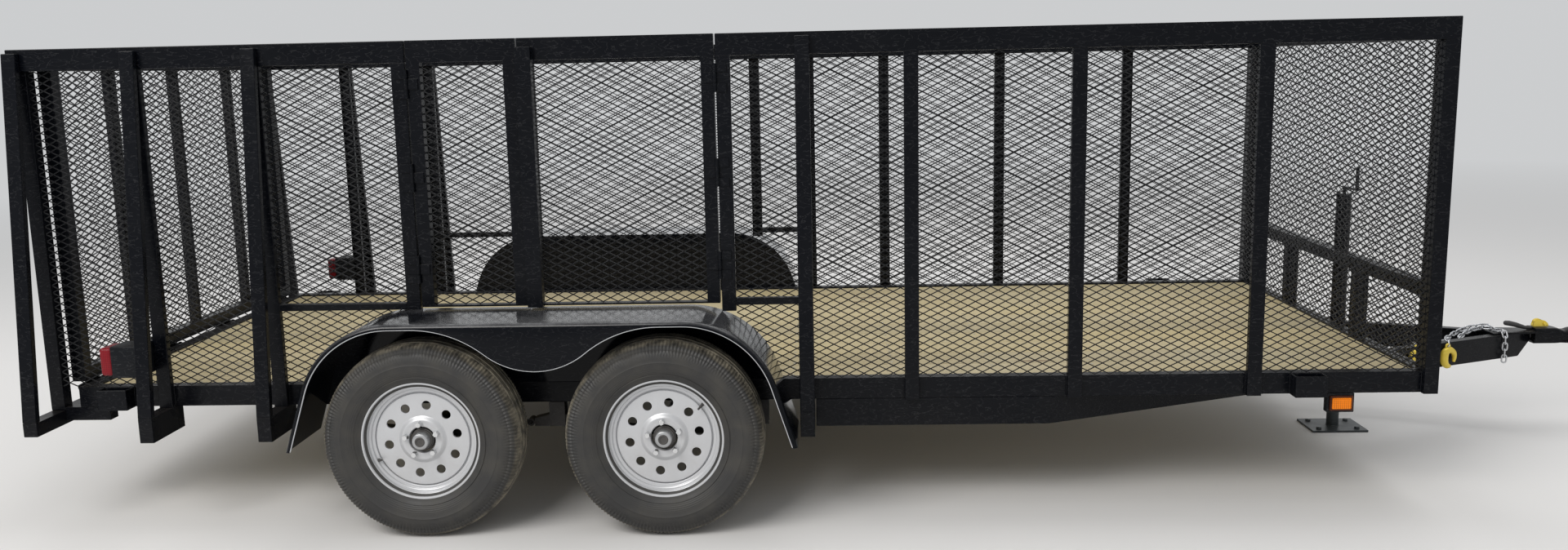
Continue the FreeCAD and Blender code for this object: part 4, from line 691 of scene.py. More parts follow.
def build_paints(finish):
    """Paint and plating: colour, colour of the dust (a painted sheen on the fenders), roughness,
    its share on upper faces and low parts, the rest.
    """
    dust = finish.dust
    painted("black paint", finish.black, dust, 0.27, (0.08, 0.03), rubs=0.2, mirror=0.13)
    # Fender paint: the pale grey on its upper faces is a painted sheen, for the sky reflected in
    # the glossy tops.
    painted("fender paint", finish.black, finish.painted_sheen, 0.09, (0.55, 0.015), drift=0.1,
            unevenness=0.03, rubs=0.15, bump=0.05, mirror=0.12, glossy_top=True)
    painted("mesh paint", finish.mesh_black, dust, 0.38, (0.12, 0.03), rubs=0.1, bump=0.05,
            mirror=0.3)
    painted("running gear", (0.012, 0.012, 0.013), dust, 0.5, (0.35, 0.30), mirror=0.3)
    painted("wheel silver", finish.silver, dust, 0.34, (0.10, 0.22), drift=0.05,
            unevenness=0.05, peel=500.0, rubs=0.15, metallic=0.35, coat=0.2, bump=0.06)
    # The hub's dark is partly painted shade, for the shadow round the cap.
    painted("hub steel and shade", finish.hub_dark_and_shade, dust, 0.42, (0.10, 0.16), metallic=0.3)
    painted("cap steel", (0.42, 0.43, 0.44), dust, 0.32, (0.06, 0.12), metallic=0.8)
    painted("lug chrome", (0.66, 0.67, 0.68), dust, 0.24, (0.05, 0.10), metallic=0.9, rubs=0.1)
    painted("cap rubber", (0.035, 0.035, 0.037), dust, 0.55, (0.10, 0.15))
    painted("yellow zinc", finish.zinc_yellow, dust, 0.34, (0.08, 0.05), metallic=0.25, drift=0.3)
    painted("bright zinc", finish.zinc_bright, dust, 0.30, (0.05, 0.10), metallic=0.85,
            drift=0.25)
    painted("jack grey", (0.036, 0.044, 0.048), dust, 0.34, (0.04, 0.08), metallic=0.3,
            mirror=0.3)
    # The rolled edge's pale grey is a painted highlight along the bead.
    painted("skirt edge highlight", finish.painted_edge_highlight, dust, 0.42, (0.10, 0.10), drift=0.3, rubs=0.5)
    painted("lamp housing", (0.004, 0.005, 0.007), dust, 0.42, (0.05, 0.03), peel=700.0,
            mirror=0.16)
    painted("deck screws", (0.42, 0.40, 0.34), dust, 0.45, (0.20, 0.0), metallic=0.6)


def build_materials(finish):
    """All materials, from the colours that a user may change."""
    GROUPS.update(dust=build_dust_group(), paint=build_paint_group(), pine=build_pine_group(),
                  rubber=build_rubber_group(), lens=build_lens_group())
    build_paints(finish)

    half_gap = 0.0015
    boards = solid_boxes("deck_boards")
    first_y, last_y = boards[0][0].y, boards[-1][0].y
    tree, shader = new_material("pine boards")
    pine = group_node(tree, "pine", {
        "Light": opaque(finish.pine_light), "Dark": opaque(finish.pine_dark),
        "First edge": first_y - half_gap, "Pitch": (last_y - first_y) / (len(boards) - 1)})
    lying = group_node(tree, "dust", {
        "Upper faces": 0.20, "Low parts": 0.0, "Reach": 0.5, "Scale": 1.6})
    feed(tree, shader, {
        "Base Color": blend_colours(tree, lying["Mask"], pine["Color"], opaque(finish.dust)),
        "Roughness": pine["Roughness"]})
    set_bump(tree, shader, pine["Height"], 0.5, 0.0012)

    tree, shader = new_material("tyre rubber")
    rubber = group_node(tree, "rubber", {
        "Color": opaque(finish.rubber), "Dust": opaque(finish.tread_dust)})
    feed(tree, shader, {"Base Color": rubber["Color"], "Roughness": rubber["Roughness"]})
    set_bump(tree, shader, rubber["Height"], 0.55, 0.0010)

    for name, base in (("red lens", finish.lens_red), ("amber lens", finish.lens_amber),
                       ("amber rim", finish.lens_amber_rim)):
        tree, shader = new_material(name)
        lens = group_node(tree, "lens", {"Color": opaque(base)})
        feed(tree, shader, {
            "Base Color": lens["Color"], "Roughness": 0.26, "Specular IOR Level": 0.22})
        set_bump(tree, shader, lens["Height"], 0.35, 0.0006)


# ---- Frame, deck and mesh ----


FRAME_NODES = (
    "frame_rails", "end_rails", "crossmembers", "outriggers", "rear_cross_tube", "side_posts",
    "top_rails", "fender_rails", "front_wall_frame", "tongue_right", "tongue_left",
    "stake_pockets", "rear_gate_frame", "side_gate_rear_frame", "side_gate_front_frame", "braces",
)


def dress_node(name, material, radius=0.0):
    """Give a CAD node its material and, where a radius is given, rounded edges."""
    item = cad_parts[name]
    item.data.materials.clear()
    item.data.materials.append(MATERIALS[material])
    if radius:
        weld = item.modifiers.new("Joined corners", "WELD")
        weld.merge_threshold = 0.00002
        bevel = item.modifiers.new("Rounded edges", "BEVEL")
        bevel.width = radius
        bevel.segments = 2
        bevel.limit_method = "ANGLE"
        bevel.angle_limit = math.radians(35)


class TRAILER_OT_frame(bpy.types.Operator):
    """Paint the steel frame and round its edges"""

    bl_idname = "trailer.frame"
    bl_label = "Frame and posts"

    def execute(self, context):
        build_materials(context.scene.trailer_finish)
        for name in FRAME_NODES:
            dress_node(name, "black paint", context.scene.trailer_metal.edge_radius)
        dress_node("fixed_hinges", "black paint")
        for name in ("axles", "spring_hangers", "equalizers"):
            dress_node(name, "running gear")
        return {"FINISHED"}


class TRAILER_OT_deck(bpy.types.Operator):
    """Wood finish for the deck boards, and their screws"""

    bl_idname = "trailer.deck"
    bl_label = "Deck"

    def execute(self, context):
        dress_node("deck_boards", "pine boards", 0.003)
        head, tall, sunk = 0.0058, 0.0025, 0.001
        boards = solid_boxes("deck_boards")
        work = bmesh.new()
        for cross_low, cross_high in solid_boxes("crossmembers"):
            x = halfway(cross_low.x, cross_high.x)
            for low, high in boards:
                for share in (0.18, 0.82):
                    y = low.y + (high.y - low.y) * share
                    # Each head ends at a turn of its own, set by its place.
                    add_hexagon(work, (x, y, DECK_TOP - sunk), (0, 0, 1), head, tall,
                                start=x * 40 + y * 60)
        put_piece("deck_screws", work, "deck screws", "chassis")
        return {"FINISHED"}


def expanded_metal(low, high, sizes):
    """Corner points and faces of one sheet: zigzag strands that meet at their peaks."""
    span = high - low
    through = 1 if span.y < span.x else 0
    run = 1 - through
    rows = round(span.z / (sizes.diamond_height / 2))
    columns = round(span[run] / (sizes.diamond_width / 2))
    slope = math.atan2(sizes.diamond_height, sizes.diamond_width)
    tall = sizes.strand_width / 2 / math.cos(slope)
    lean = (span[through] - sizes.strand_depth) / 2
    station = np.arange(columns + 1)
    row = np.arange(rows)[:, None]
    level = row + (station[None, :] + row) % 2
    height = low.z + tall + (span.z - 2 * tall) / rows * level
    depth = halfway(low[through], high[through]) + np.where(level % 2 == 0, lean, -lean)
    points = np.empty((rows, columns + 1, 4, 3))
    for index, (across, up) in enumerate(((-1, -1), (-1, 1), (1, 1), (1, -1))):
        points[:, :, index, run] = low[run] + span[run] * station / columns
        points[:, :, index, through] = depth + across * sizes.strand_depth / 2
        points[:, :, index, 2] = height + up * tall
    number = np.arange(rows * (columns + 1) * 4).reshape(rows, columns + 1, 4)
    near, far = number[:, :-1], number[:, 1:]
    order = [near, far, np.roll(far, -1, axis=2), np.roll(near, -1, axis=2)]
    if run == 1:
        order.reverse()
    return points.reshape(-1, 3), np.stack(order, axis=-1).reshape(-1, 4)


def mesh_sheets(name, boxes, sizes):
    """Several sheets as one mesh."""
    all_points, all_faces, count = [], [], 0
    for low, high in boxes:
        points, faces = expanded_metal(low, high, sizes)
        all_points.append(points)
        all_faces.append(faces + count)
        count += len(points)
    mesh = bpy.data.meshes.new(name)
    mesh.from_pydata(np.concatenate(all_points).tolist(), [], np.concatenate(all_faces).tolist())
    mesh.update()
    return mesh


# Sheets of expanded metal: name, body, CAD node and, where the node has both, the side.
SHEETS = (
    ("right_wall_mesh", "chassis", "side_mesh", -1),
    ("left_wall_mesh", "chassis", "side_mesh", 1),
    ("front_wall_mesh", "chassis", "front_mesh", 0),
    ("rear_gate_screen", "rear_gate", "rear_gate_mesh", 0),
    ("rear_leaf_screen", "side_gate_rear", "side_gate_rear_mesh", 0),
    ("front_leaf_screen", "side_gate_front", "side_gate_front_mesh", 0),
)


class TRAILER_OT_mesh_walls(bpy.types.Operator):
    """Expanded metal in the walls and gates"""

    bl_idname = "trailer.mesh_walls"
    bl_label = "Mesh walls"

    def execute(self, context):
        for name, body, node, side in SHEETS:
            boxes = [box for box in solid_boxes(node) if box[0].y * side >= 0]
            mesh = mesh_sheets(name, boxes, context.scene.trailer_metal)
            put_mesh(name, mesh, "mesh paint", body, [node])
        return {"FINISHED"}


# ---- Tyres and wheels ----


# Half of the tyre's section, from the middle of the tread to the bead: across, radius in mm.
TYRE_SECTION = (
    (0, 344.4), (13, 344.2), (14.5, 337.2), (21.5, 337.0), (23, 343.7), (43, 342.4),
    (44.5, 335.6), (51.5, 335.2), (53, 341.2), (74, 338.0), (83, 334.2), (89.5, 328.0),
    (93.6, 320.5), (95.6, 314.6), (95.2, 312.6), (97.2, 310.2), (100.2, 301), (101.8, 291),
    (102.2, 282), (101.6, 274), (102.4, 272.4), (101.5, 270.6), (99.4, 259), (95.8, 246.5),
    (91.6, 235.8), (87.6, 228.6), (89.4, 226.8), (88.2, 224.4), (84.6, 219), (81, 213.4),
    (79.6, 208.6), (75.5, 201.5), (70.6, 191.2),
)
# Outboard side of the rim, from its lip to the disc.
RIM_FRONT = (
    (76.5, 207.4), (79.4, 206.6), (79.9, 204.2), (78.9, 201.4), (75.0, 199.2), (68.6, 198.4),
    (66.2, 196.6), (66.0, 191.8), (64.6, 189.8), (58.2, 189.0), (56.6, 187.2), (56.4, 181.8),
    (55.0, 179.8), (50.2, 179.0), (48.6, 177.2), (48.4, 171.4), (46.8, 168.6), (41.6, 167.8),
    (39.8, 166.2), (40.0, 164.4), (42.0, 163.4), (48.8, 163.0), (50.2, 161.6), (50.2, 160.0),
)
# Inboard side of the rim, from the disc's back to the inner lip and over the bead seats.
RIM_BACK = (
    (41.0, 160.0), (38.0, 168.0), (30.0, 172.0), (-20.0, 172.5), (-40.0, 180.5), (-66.0, 184.5),
    (-74.0, 196.0), (-78.5, 202.0), (-79.5, 206.5), (-77.0, 207.5), (-73.0, 205.0),
    (-70.0, 194.0), (-66.0, 190.0), (-42.0, 187.0), (-22.0, 178.5), (32.0, 178.5), (50.0, 186.0),
    (66.0, 190.0), (71.0, 196.0), (75.0, 205.0), (76.5, 207.4),
)
# Dished ring between the disc and the hub, then the hub's barrel, its cap and the cap's plug.
DISH = (
    (50.2, 84.0), (50.8, 82.4), (53.0, 79.6), (57.2, 74.6), (59.6, 71.2), (60.6, 68.6),
    (60.8, 66.0), (60.4, 64.0), (60.2, 48.5), (59.0, 46.8), (55.0, 45.6), (42.0, 45.0),
)
HUB = ((-60.0, 40.0), (51.0, 40.0), (54.0, 39.0), (55.0, 36.8), (58.0, 36.2), (60.0, 35.0),
       (60.5, 32.0), (60.5, 29.0))
CAP = ((60.5, 29.4), (84.0, 28.6), (86.5, 27.6), (88.0, 25.6), (88.4, 17.5))
PLUG = ((88.0, 17.6), (90.6, 17.0), (91.6, 15.4), (91.2, 12.0), (89.2, 10.6), (89.0, 0.0))
# Parts of the hub: name, section, segments, material and slot.
HUB_PARTS = (
    ("hub", HUB, 64, "hub steel and shade", "silver_paint"),
    ("hub_cap", CAP, 64, "cap steel", "silver_paint"),
    ("hub_plug", PLUG, 48, "cap rubber", "black_plastic"),
)
# Valve stem, in metres: distance from the axle, across, radius; and its turn in each wheel.
VALVE = ((0.176, 0.050, 0.0062), (0.171, 0.058, 0.0052), (0.164, 0.066, 0.0040),
         (0.158, 0.073, 0.0036))
VALVE_TURN = {"rear": math.radians(205), "front": math.radians(40)}
LUG_SEAT, LUG_RADIUS, LUG_HEIGHT = 0.0600, 0.0105, 0.019


def millimetres(points):
    """A section given in millimetres, in metres."""
    return [(across / 1000, radius / 1000) for across, radius in points]


def wheel_middle(side, place):
    """The middle of a wheel and its tyre."""
    return halfway(*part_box(f"tyre_{side}_{place}"))


def tyre_mesh(name, sizes):
    """A tyre about the Y axis, with notches round the shoulders of its tread."""
    notched_from, notched_outside = 0.3005, 0.054
    tread_edge, side_width = 0.334, 0.020
    half = millimetres(TYRE_SECTION)
    profile = half + [(-across, radius) for across, radius in reversed(half[1:])]

    def notch(across, radius, index):
        if index % sizes.notch_every or radius < notched_from or abs(across) < notched_outside:
            return across, radius
        side_share = min(1.0, max(0.0, (tread_edge - radius) / side_width))
        inward = sizes.notch_depth * (0.35 + 0.4 * side_share)
        down = sizes.notch_depth * (1 - side_share)
        return across - math.copysign(inward, across), radius - down

    work = bmesh.new()
    add_lathe(work, profile, sizes.segments, closed=True, shape=notch)
    return mesh_of(work, name, 32)


class TRAILER_OT_tyres(bpy.types.Operator):
    """Four tyres with grooved tread and moulded side walls"""

    bl_idname = "trailer.tyres"
    bl_label = "Tyres"

    def execute(self, context):
        mesh = tyre_mesh("tyre_casing", context.scene.trailer_tyre)
        for side, place, _sign in WHEELS:
            put_mesh(f"{side}_{place}_tyre", mesh.copy(), "tyre rubber",
                     f"wheel_{side}_{place}_body", [f"tyre_{side}_{place}"],
                     wheel_middle(side, place))
        return {"FINISHED"}


def add_disc(work, sizes, side, inner, outer, face):
    """The disc between two radii, built sector by sector round its holes."""
    thickness, turned_in, rings, arc_steps, side_steps = 0.009, 0.0012, 3, 12, 6
    half = math.pi / sizes.holes
    width = outer - inner
    for sector in range(sizes.holes):
        middle = 2 * half * sector + sizes.first_hole
        sweep = [2 * half * step / arc_steps for step in range(arc_steps)]
        climb = [width * step / side_steps for step in range(side_steps)]
        edge = [(inner, middle - half + turn) for turn in sweep]
        edge += [(inner + rise, middle + half) for rise in climb]
        edge += [(outer, middle + half - turn) for turn in sweep]
        edge += [(outer - rise, middle - half) for rise in climb]
        border = [Vector((radius * math.cos(turn), radius * math.sin(turn)))
                  for radius, turn in edge]
        centre = Vector((sizes.hole_circle * math.cos(middle),
                         sizes.hole_circle * math.sin(middle)))
        circle = [centre + (point - centre).normalized() * sizes.hole_radius for point in border]
        lips = []
        for level, lip_drop in ((face, turned_in), (face - thickness, 0.0)):
            layers = []
            for ring in range(rings + 1):
                points = [first.lerp(second, ring / rings)
                          for first, second in zip(border, circle)]
                y = (level - (lip_drop if ring == rings else 0.0)) * side
                layers.append(add_ring(work, [(point.x, y, point.y) for point in points]))
            join_rings(work, layers)
            lips.append(layers[-1])
        bridge(work, *lips)


class TRAILER_OT_wheels(bpy.types.Operator):
    """Four steel wheels with round holes, hub, lug nuts and valve stem"""

    bl_idname = "trailer.wheels"
    bl_label = "Wheels"

    def wheel_shape(self, sizes, sign):
        """Rim, disc and dish."""
        rim, dish = millimetres(RIM_FRONT), millimetres(DISH)
        work = bmesh.new()
        add_lathe(work, rim, 120, sign)
        add_lathe(work, millimetres(RIM_BACK), 120, sign)
        add_disc(work, sizes, sign, dish[0][1], rim[-1][1], rim[-1][0])
        add_lathe(work, dish, 120, sign)
        bmesh.ops.remove_doubles(work, verts=work.verts, dist=1e-5)
        return work

    def lug_nuts(self, sizes, sign):
        """The nuts round the hub."""
        work = bmesh.new()
        for turn in full_turn(sizes.lugs):
            turn += sizes.first_lug
            spot = (sizes.lug_circle * math.cos(turn), LUG_SEAT * sign,
                    sizes.lug_circle * math.sin(turn))
            add_hexagon(work, spot, (0, sign, 0), LUG_RADIUS, LUG_HEIGHT, start=turn)
        return work

    def valve(self, place, sign):
        """The valve stem, which leans in from the rim."""
        turn = VALVE_TURN[place]
        along = Vector((math.cos(turn), 0, math.sin(turn)))
        stem = [along * away + Vector((0, across * sign, 0)) for away, across, _radius in VALVE]
        work = bmesh.new()
        add_tube(work, stem, lambda index: VALVE[index][2], sides=12)
        return work

    def execute(self, context):
        sizes = context.scene.trailer_wheel
        for side, place, sign in WHEELS:
            name = f"{side}_{place}"
            body, middle = f"wheel_{name}_body", wheel_middle(side, place)
            put_piece(f"{name}_wheel", self.wheel_shape(sizes, sign), "wheel silver", body,
                      [f"wheel_{name}"], middle, 28)
            for part, section, segments, material, slot in HUB_PARTS:
                work = bmesh.new()
                add_lathe(work, millimetres(section), segments, sign)
                bmesh.ops.remove_doubles(work, verts=work.verts, dist=1e-6)
                put_piece(f"{name}_{part}", work, material, body, (), middle)
            put_piece(f"{name}_lug_nuts", self.lug_nuts(sizes, sign), "lug chrome", body,
                      (), middle)
            put_piece(f"{name}_valve", self.valve(place, sign), "cap rubber", body,
                      (), middle)
        return {"FINISHED"}


# ---- Fenders ----


# In metres: skirt over the wheels, bend of each end, half length of the level top, lean of the
# ends, height of the skirt's dip, foot of the wall plate, and thickness of sheet and plate.
LIP, BEND, LEVEL, LEAN = 0.016, 0.330, 0.495, math.radians(18)
DIP, PLATE_FOOT, SHEET, PLATE = 0.597, 0.484, 0.003, 0.004


def arc_points(centre, radius, start, end, count):
    """Points (x, z) on an arc, angles in radians."""
    turns = [start + (end - start) * step / count for step in range(count + 1)]
    return [(centre[0] + radius * math.cos(turn), centre[1] + radius * math.sin(turn))
            for turn in turns]


def fender_point(place, inset, top, middle):
    """A point (x, z) of the outline, moved inward: a level x, an end's turn or a foot's height."""
    kind, value, side = place
    if kind == "level":
        return value, top - inset
    turn = value if kind == "turn" else LEAN
    x = middle + LEVEL * side + (BEND - inset) * math.cos(turn) * side
    z = top - BEND + (BEND - inset) * math.sin(turn)
    if kind == "foot":
        x, z = x + (z - value) * math.tan(LEAN) * side, value
    return x, z


def skirt_line(foot, top, wheel_x, axle_z):
    """The skirt's lower edge from its rear foot to its front foot, as (x, z) points."""
    middle, half = halfway(*wheel_x), (wheel_x[1] - wheel_x[0]) / 2
    edge = top - LIP
    arch, drop = edge - axle_z, DIP - axle_z
    dip = (half * half + drop * drop - arch * arch) / (2 * (arch - drop))
    share = arch / (arch + dip)
    turn_x, turn_z = half - half * share, axle_z + (drop + dip) * share
    small = BEND - LIP
    shoulder_x = middle + LEVEL + small * math.cos(LEAN)
    shoulder_z = top - BEND + small * math.sin(LEAN)
    start = math.atan2(turn_z - axle_z, turn_x - half)
    front = [(turn_x + middle, turn_z)]
    front += arc_points((middle + half, axle_z), arch, start, math.pi / 2, 26)[1:]
    front += [(middle + LEVEL, edge)]
    front += arc_points((middle + LEVEL, top - BEND), small, math.pi / 2, LEAN, 22)[1:]
    front += [(shoulder_x + (shoulder_z - foot) * math.tan(LEAN), foot)]
    dip_half = math.atan2(turn_x, DIP + dip - turn_z)
    valley = arc_points((middle, DIP + dip), dip, -math.pi / 2, -math.pi / 2 + dip_half, 10)
    right = valley[:-1] + front
    left = [(2 * middle - x, z) for x, z in reversed(right[1:])]
    return left + right


def outline_places(line, foot, top, middle):
    """Where each point of the skirt's edge lies on the fender's outline."""
    places = []
    for x, z in line:
        side = 1 if x > middle else -1
        beyond = abs(x - middle) - LEVEL
        if abs(z - foot) < 1e-6:
            places.append(("foot", foot, side))
        elif beyond > 1e-6:
            places.append(("turn", max(LEAN, math.atan2(z - top + BEND, beyond)), side))
        else:
            places.append(("level", x, side))
    return places


def fender_shape(low, high, wheel_x, axle_z, corner):
    """A fender: its top, the rounded corner, the skirt and the plate that closes the wall."""
    flat = 0.020
    middle, top = halfway(*wheel_x), high.z
    inner, outer, sign = inner_outer(low, high)
    line = skirt_line(low.z, top, wheel_x, axle_z)
    places = outline_places(line, low.z, top, middle)
    section = [(inner + PLATE, 0.0), (inner + flat, 0.0), (outer - corner - flat, 0.0)]
    for turn in (math.radians(15 * step) for step in range(7)):
        section.append((outer - corner + corner * math.sin(turn), corner * (1 - math.cos(turn))))
    work = bmesh.new()
    rings = []
    for across, inset in section:
        points = [fender_point(place, inset, top, middle) for place in places]
        rings.append(add_ring(work, [(x, across * sign, z) for x, z in points]))
    rings.append(add_ring(work, [(x, outer * sign, z) for x, z in line]))
    join_rings(work, rings, closed=False)
    bmesh.ops.recalc_face_normals(work, faces=work.faces)
    highest = max(work.faces, key=lambda face: face.calc_center_median().z)
    if highest.normal.z < 0:
        bmesh.ops.reverse_faces(work, faces=work.faces)
    bmesh.ops.solidify(work, geom=work.faces, thickness=SHEET)
    plate = [fender_point(place, SHEET / 2, top, middle) for place in places
             if place[0] != "foot"]
    plate = [point for point in plate if point[1] > PLATE_FOOT]
    fall = top - BEND + BEND * math.sin(LEAN) - PLATE_FOOT
    reach = LEVEL + BEND * math.cos(LEAN) + fall * math.tan(LEAN) - SHEET
    plate = [(middle - reach, PLATE_FOOT)] + plate + [(middle + reach, PLATE_FOOT)]
    add_prism(work, plate, 1, inner * sign, (inner + PLATE) * sign)
    return work


class TRAILER_OT_fenders(bpy.types.Operator):
    """Twin-arch fenders with a rounded corner, and the rolled edge along each skirt painted pale as
    a highlight
    """

    bl_idname = "trailer.fenders"
    bl_label = "Fenders"

    def execute(self, context):
        sizes = context.scene.trailer_metal
        bead = sizes.fender_bead
        for side, sign in SIDES:
            low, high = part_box(f"fender_{side}")
            middles = [wheel_middle(side, place) for place in PLACES]
            wheel_x, axle_z = [middle.x for middle in middles], middles[0].z
            work = fender_shape(low, high, wheel_x, axle_z, sizes.fender_corner)
            put_piece(f"{side}_fender", work, "fender paint", "chassis",
                      [f"fender_{side}"], smooth_angle=30)
            # The rolled edge, in pale grey as a painted highlight along the bead.
            y = (inner_outer(low, high)[1] - bead) * sign
            line = skirt_line(low.z + bead, high.z, wheel_x, axle_z)
            work = bmesh.new()
            add_tube(work, [(x, y, z) for x, z in line], bead, sides=8)
            put_piece(f"{side}_skirt_edge_highlight", work, "skirt edge highlight", "chassis")
        return {"FINISHED"}


# ---- Welds and springs ----


class TRAILER_OT_welds(bpy.types.Operator):
    """Weld beads where posts and stake pockets meet the rails"""

    bl_idname = "trailer.welds"
    bl_label = "Welds"

    def execute(self, context):
        radius = context.scene.trailer_metal.weld_radius
        sunk, end_gap = radius * 0.4, 0.004
        under_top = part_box("top_rails")[0].z - sunk
        work = bmesh.new()

        def upright_welds(low, high, seam, top):
            """A bead up each edge of a post's or pocket's inner side."""
            for x in (low.x, high.x):
                add_weld(work, (x, seam, low.z + end_gap), (x, seam, top), radius)

        for low, high in solid_boxes("side_posts"):
            inner, outer, sign = inner_outer(low, high)
            if outer - radius < RAILS_HIGH.y:
                continue
            face = (outer - radius) * sign
            add_weld(work, (low.x, face, under_top), (high.x, face, under_top), radius)
            if low.z <= RAILS_HIGH.z:
                upright_welds(low, high, (inner + radius * 0.7) * sign, RAILS_HIGH.z)
        for low, high in solid_boxes("stake_pockets"):
            inner, _outer, sign = inner_outer(low, high)
            upright_welds(low, high, (inner + radius * 0.7) * sign, high.z - end_gap)
        put_piece("frame_welds", work, "black paint", "chassis", smooth_angle=60)
        return {"FINISHED"}


# Leaf packs, in metres: thickness of a leaf, outer radius of an eye; the leaves' share of the
# pack's length, from the top one down.
LEAF, EYE = 0.0065, 0.014
LEAF_SHARES = (1.0, 0.82, 0.58, 0.34)
# U-bolts, in metres: bar radius, distance from the pack's middle, and the bend from the pack's
# side inward and up from the axle's middle.
U_BAR, U_AWAY = 0.006, 0.034
U_BEND = ((-0.006, 0.022), (0.002, 0.031), (0.012, 0.035))


class TRAILER_OT_springs(bpy.types.Operator):
    """Leaf packs with separate leaves, their U-bolts and clamp plates"""

    bl_idname = "trailer.springs"
    bl_label = "Leaf springs"

    def add_leaves(self, work, low, high):
        """Leaves that sag from eye to eye, each shorter than the one above, and the two eyes."""
        side_gap, leaf_steps = 0.0005, 8
        y0, y1 = low.y + side_gap, high.y - side_gap
        middle, reach = halfway(low.x, high.x), (high.x - low.x) / 2 - EYE
        eye_z = high.z - EYE
        sag = eye_z - LEAF / 2 - low.z - LEAF * 3.0
        for number, share in enumerate(LEAF_SHARES):
            rings = []
            for step in range(2 * leaf_steps + 1):
                t = (step / leaf_steps - 1) * share
                x = middle + reach * t
                top = eye_z + LEAF / 2 - sag * (1 - t * t) - LEAF * number
                bottom = top - LEAF * 0.94
                rings.append(add_ring(work, [(x, y0, top), (x, y1, top), (x, y1, bottom),
                                             (x, y0, bottom)]))
            join_rings(work, rings, capped=True)
        bore = EYE * 0.55
        for x in (middle - reach, middle + reach):
            rings = []
            for y, radius in ((y0, EYE), (y1, EYE), (y1, bore), (y0, bore)):
                rings.append(add_ring(work, [
                    (x + radius * math.cos(turn), y, eye_z + radius * math.sin(turn))
                    for turn in full_turn(24)]))
            join_rings(work, rings)
            bridge(work, rings[-1], rings[0])

    def add_u_bolts(self, work, low, high, axle_z):
        """Two U-bolts over the axle and the plate that they clamp under the leaves."""
        half_plate, overhang, thickness = 0.048, 0.014, 0.008
        middle, bottom = halfway(low.x, high.x), low.z + 0.001
        over = [(low.y + inward, axle_z + up) for inward, up in U_BEND]
        over += [(high.y - inward, axle_z + up) for inward, up in reversed(U_BEND)]
        loop = [(low.y - U_BAR, bottom)] + over + [(high.y + U_BAR, bottom)]
        for x in (middle - U_AWAY, middle + U_AWAY):
            add_tube(work, [(x, y, z) for y, z in loop], U_BAR, sides=8)
        rounded_box(work, (middle - half_plate, low.y - overhang, low.z),
                    (middle + half_plate, high.y + overhang, low.z + thickness), 0.002, 2)

    def execute(self, context):
        packs = solid_boxes("leaf_springs")
        leaves, bolts = bmesh.new(), bmesh.new()
        for low, high in packs:
            self.add_leaves(leaves, low, high)
            self.add_u_bolts(bolts, low, high, wheel_middle("right", "rear").z)
        put_piece("spring_leaves", leaves, "running gear", "chassis",
                  ["leaf_springs"], smooth_angle=30)
        put_piece("u_bolts", bolts, "running gear", "chassis")
        return {"FINISHED"}


# ---- Coupler and chains ----


TONGUE_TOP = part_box("tongue_right")[1].z
COUPLER_PLATE = 0.008
# Ball housing, in metres: back from the nose, half width, bottom, top; and its squareness.
HOUSING = (
    (0.236, 0.0378, 0.362, 0.429, 9.0), (0.150, 0.0378, 0.362, 0.428, 9.0),
    (0.132, 0.0370, 0.362, 0.424, 6.0), (0.112, 0.0350, 0.363, 0.415, 4.2),
    (0.096, 0.0352, 0.362, 0.4170, 3.2), (0.080, 0.0366, 0.361, 0.4235, 2.7),
    (0.060, 0.0376, 0.360, 0.4275, 2.4), (0.040, 0.0362, 0.361, 0.4235, 2.3),
    (0.024, 0.0318, 0.362, 0.4140, 2.2), (0.011, 0.0236, 0.363, 0.4000, 2.1),
    (0.004, 0.0150, 0.365, 0.3900, 2.0), (0.0, 0.0060, 0.369, 0.3830, 2.0),
)
# The housing's lower edge: back from the nose and height; and its half width.
LOWER_EDGE, LOWER_HALF = ((0.240, 0.372), (0.010, 0.360), (0.010, 0.3655), (0.240, 0.380)), 0.0380
# Lever grip, in metres: back from the nose, height over the plate, radius.
LEVER = ((0.349, 0.031, 0.007), (0.345, 0.0308, 0.0100), (0.329, 0.029, 0.0112),
         (0.299, 0.0215, 0.0105), (0.264, 0.0105, 0.008), (0.235, 0.0075, 0.006))
# Side view of the latch: share of its length and metres on from there, the same upward.
LATCH = (
    (0, 0.002, 0, 0.0), (0, 0.0, 0, 0.010), (0, 0.008, 0, 0.016), (0, 0.004, 0, 0.024),
    (0, 0.014, 1, -0.001), (0.5, -0.004, 1, 0.0), (0.5, 0.006, 0, 0.024), (0.5, 0.014, 0, 0.027),
    (1, -0.008, 0, 0.020), (1, 0.0, 0, 0.010), (1, 0.0, 0, 0.0),
)


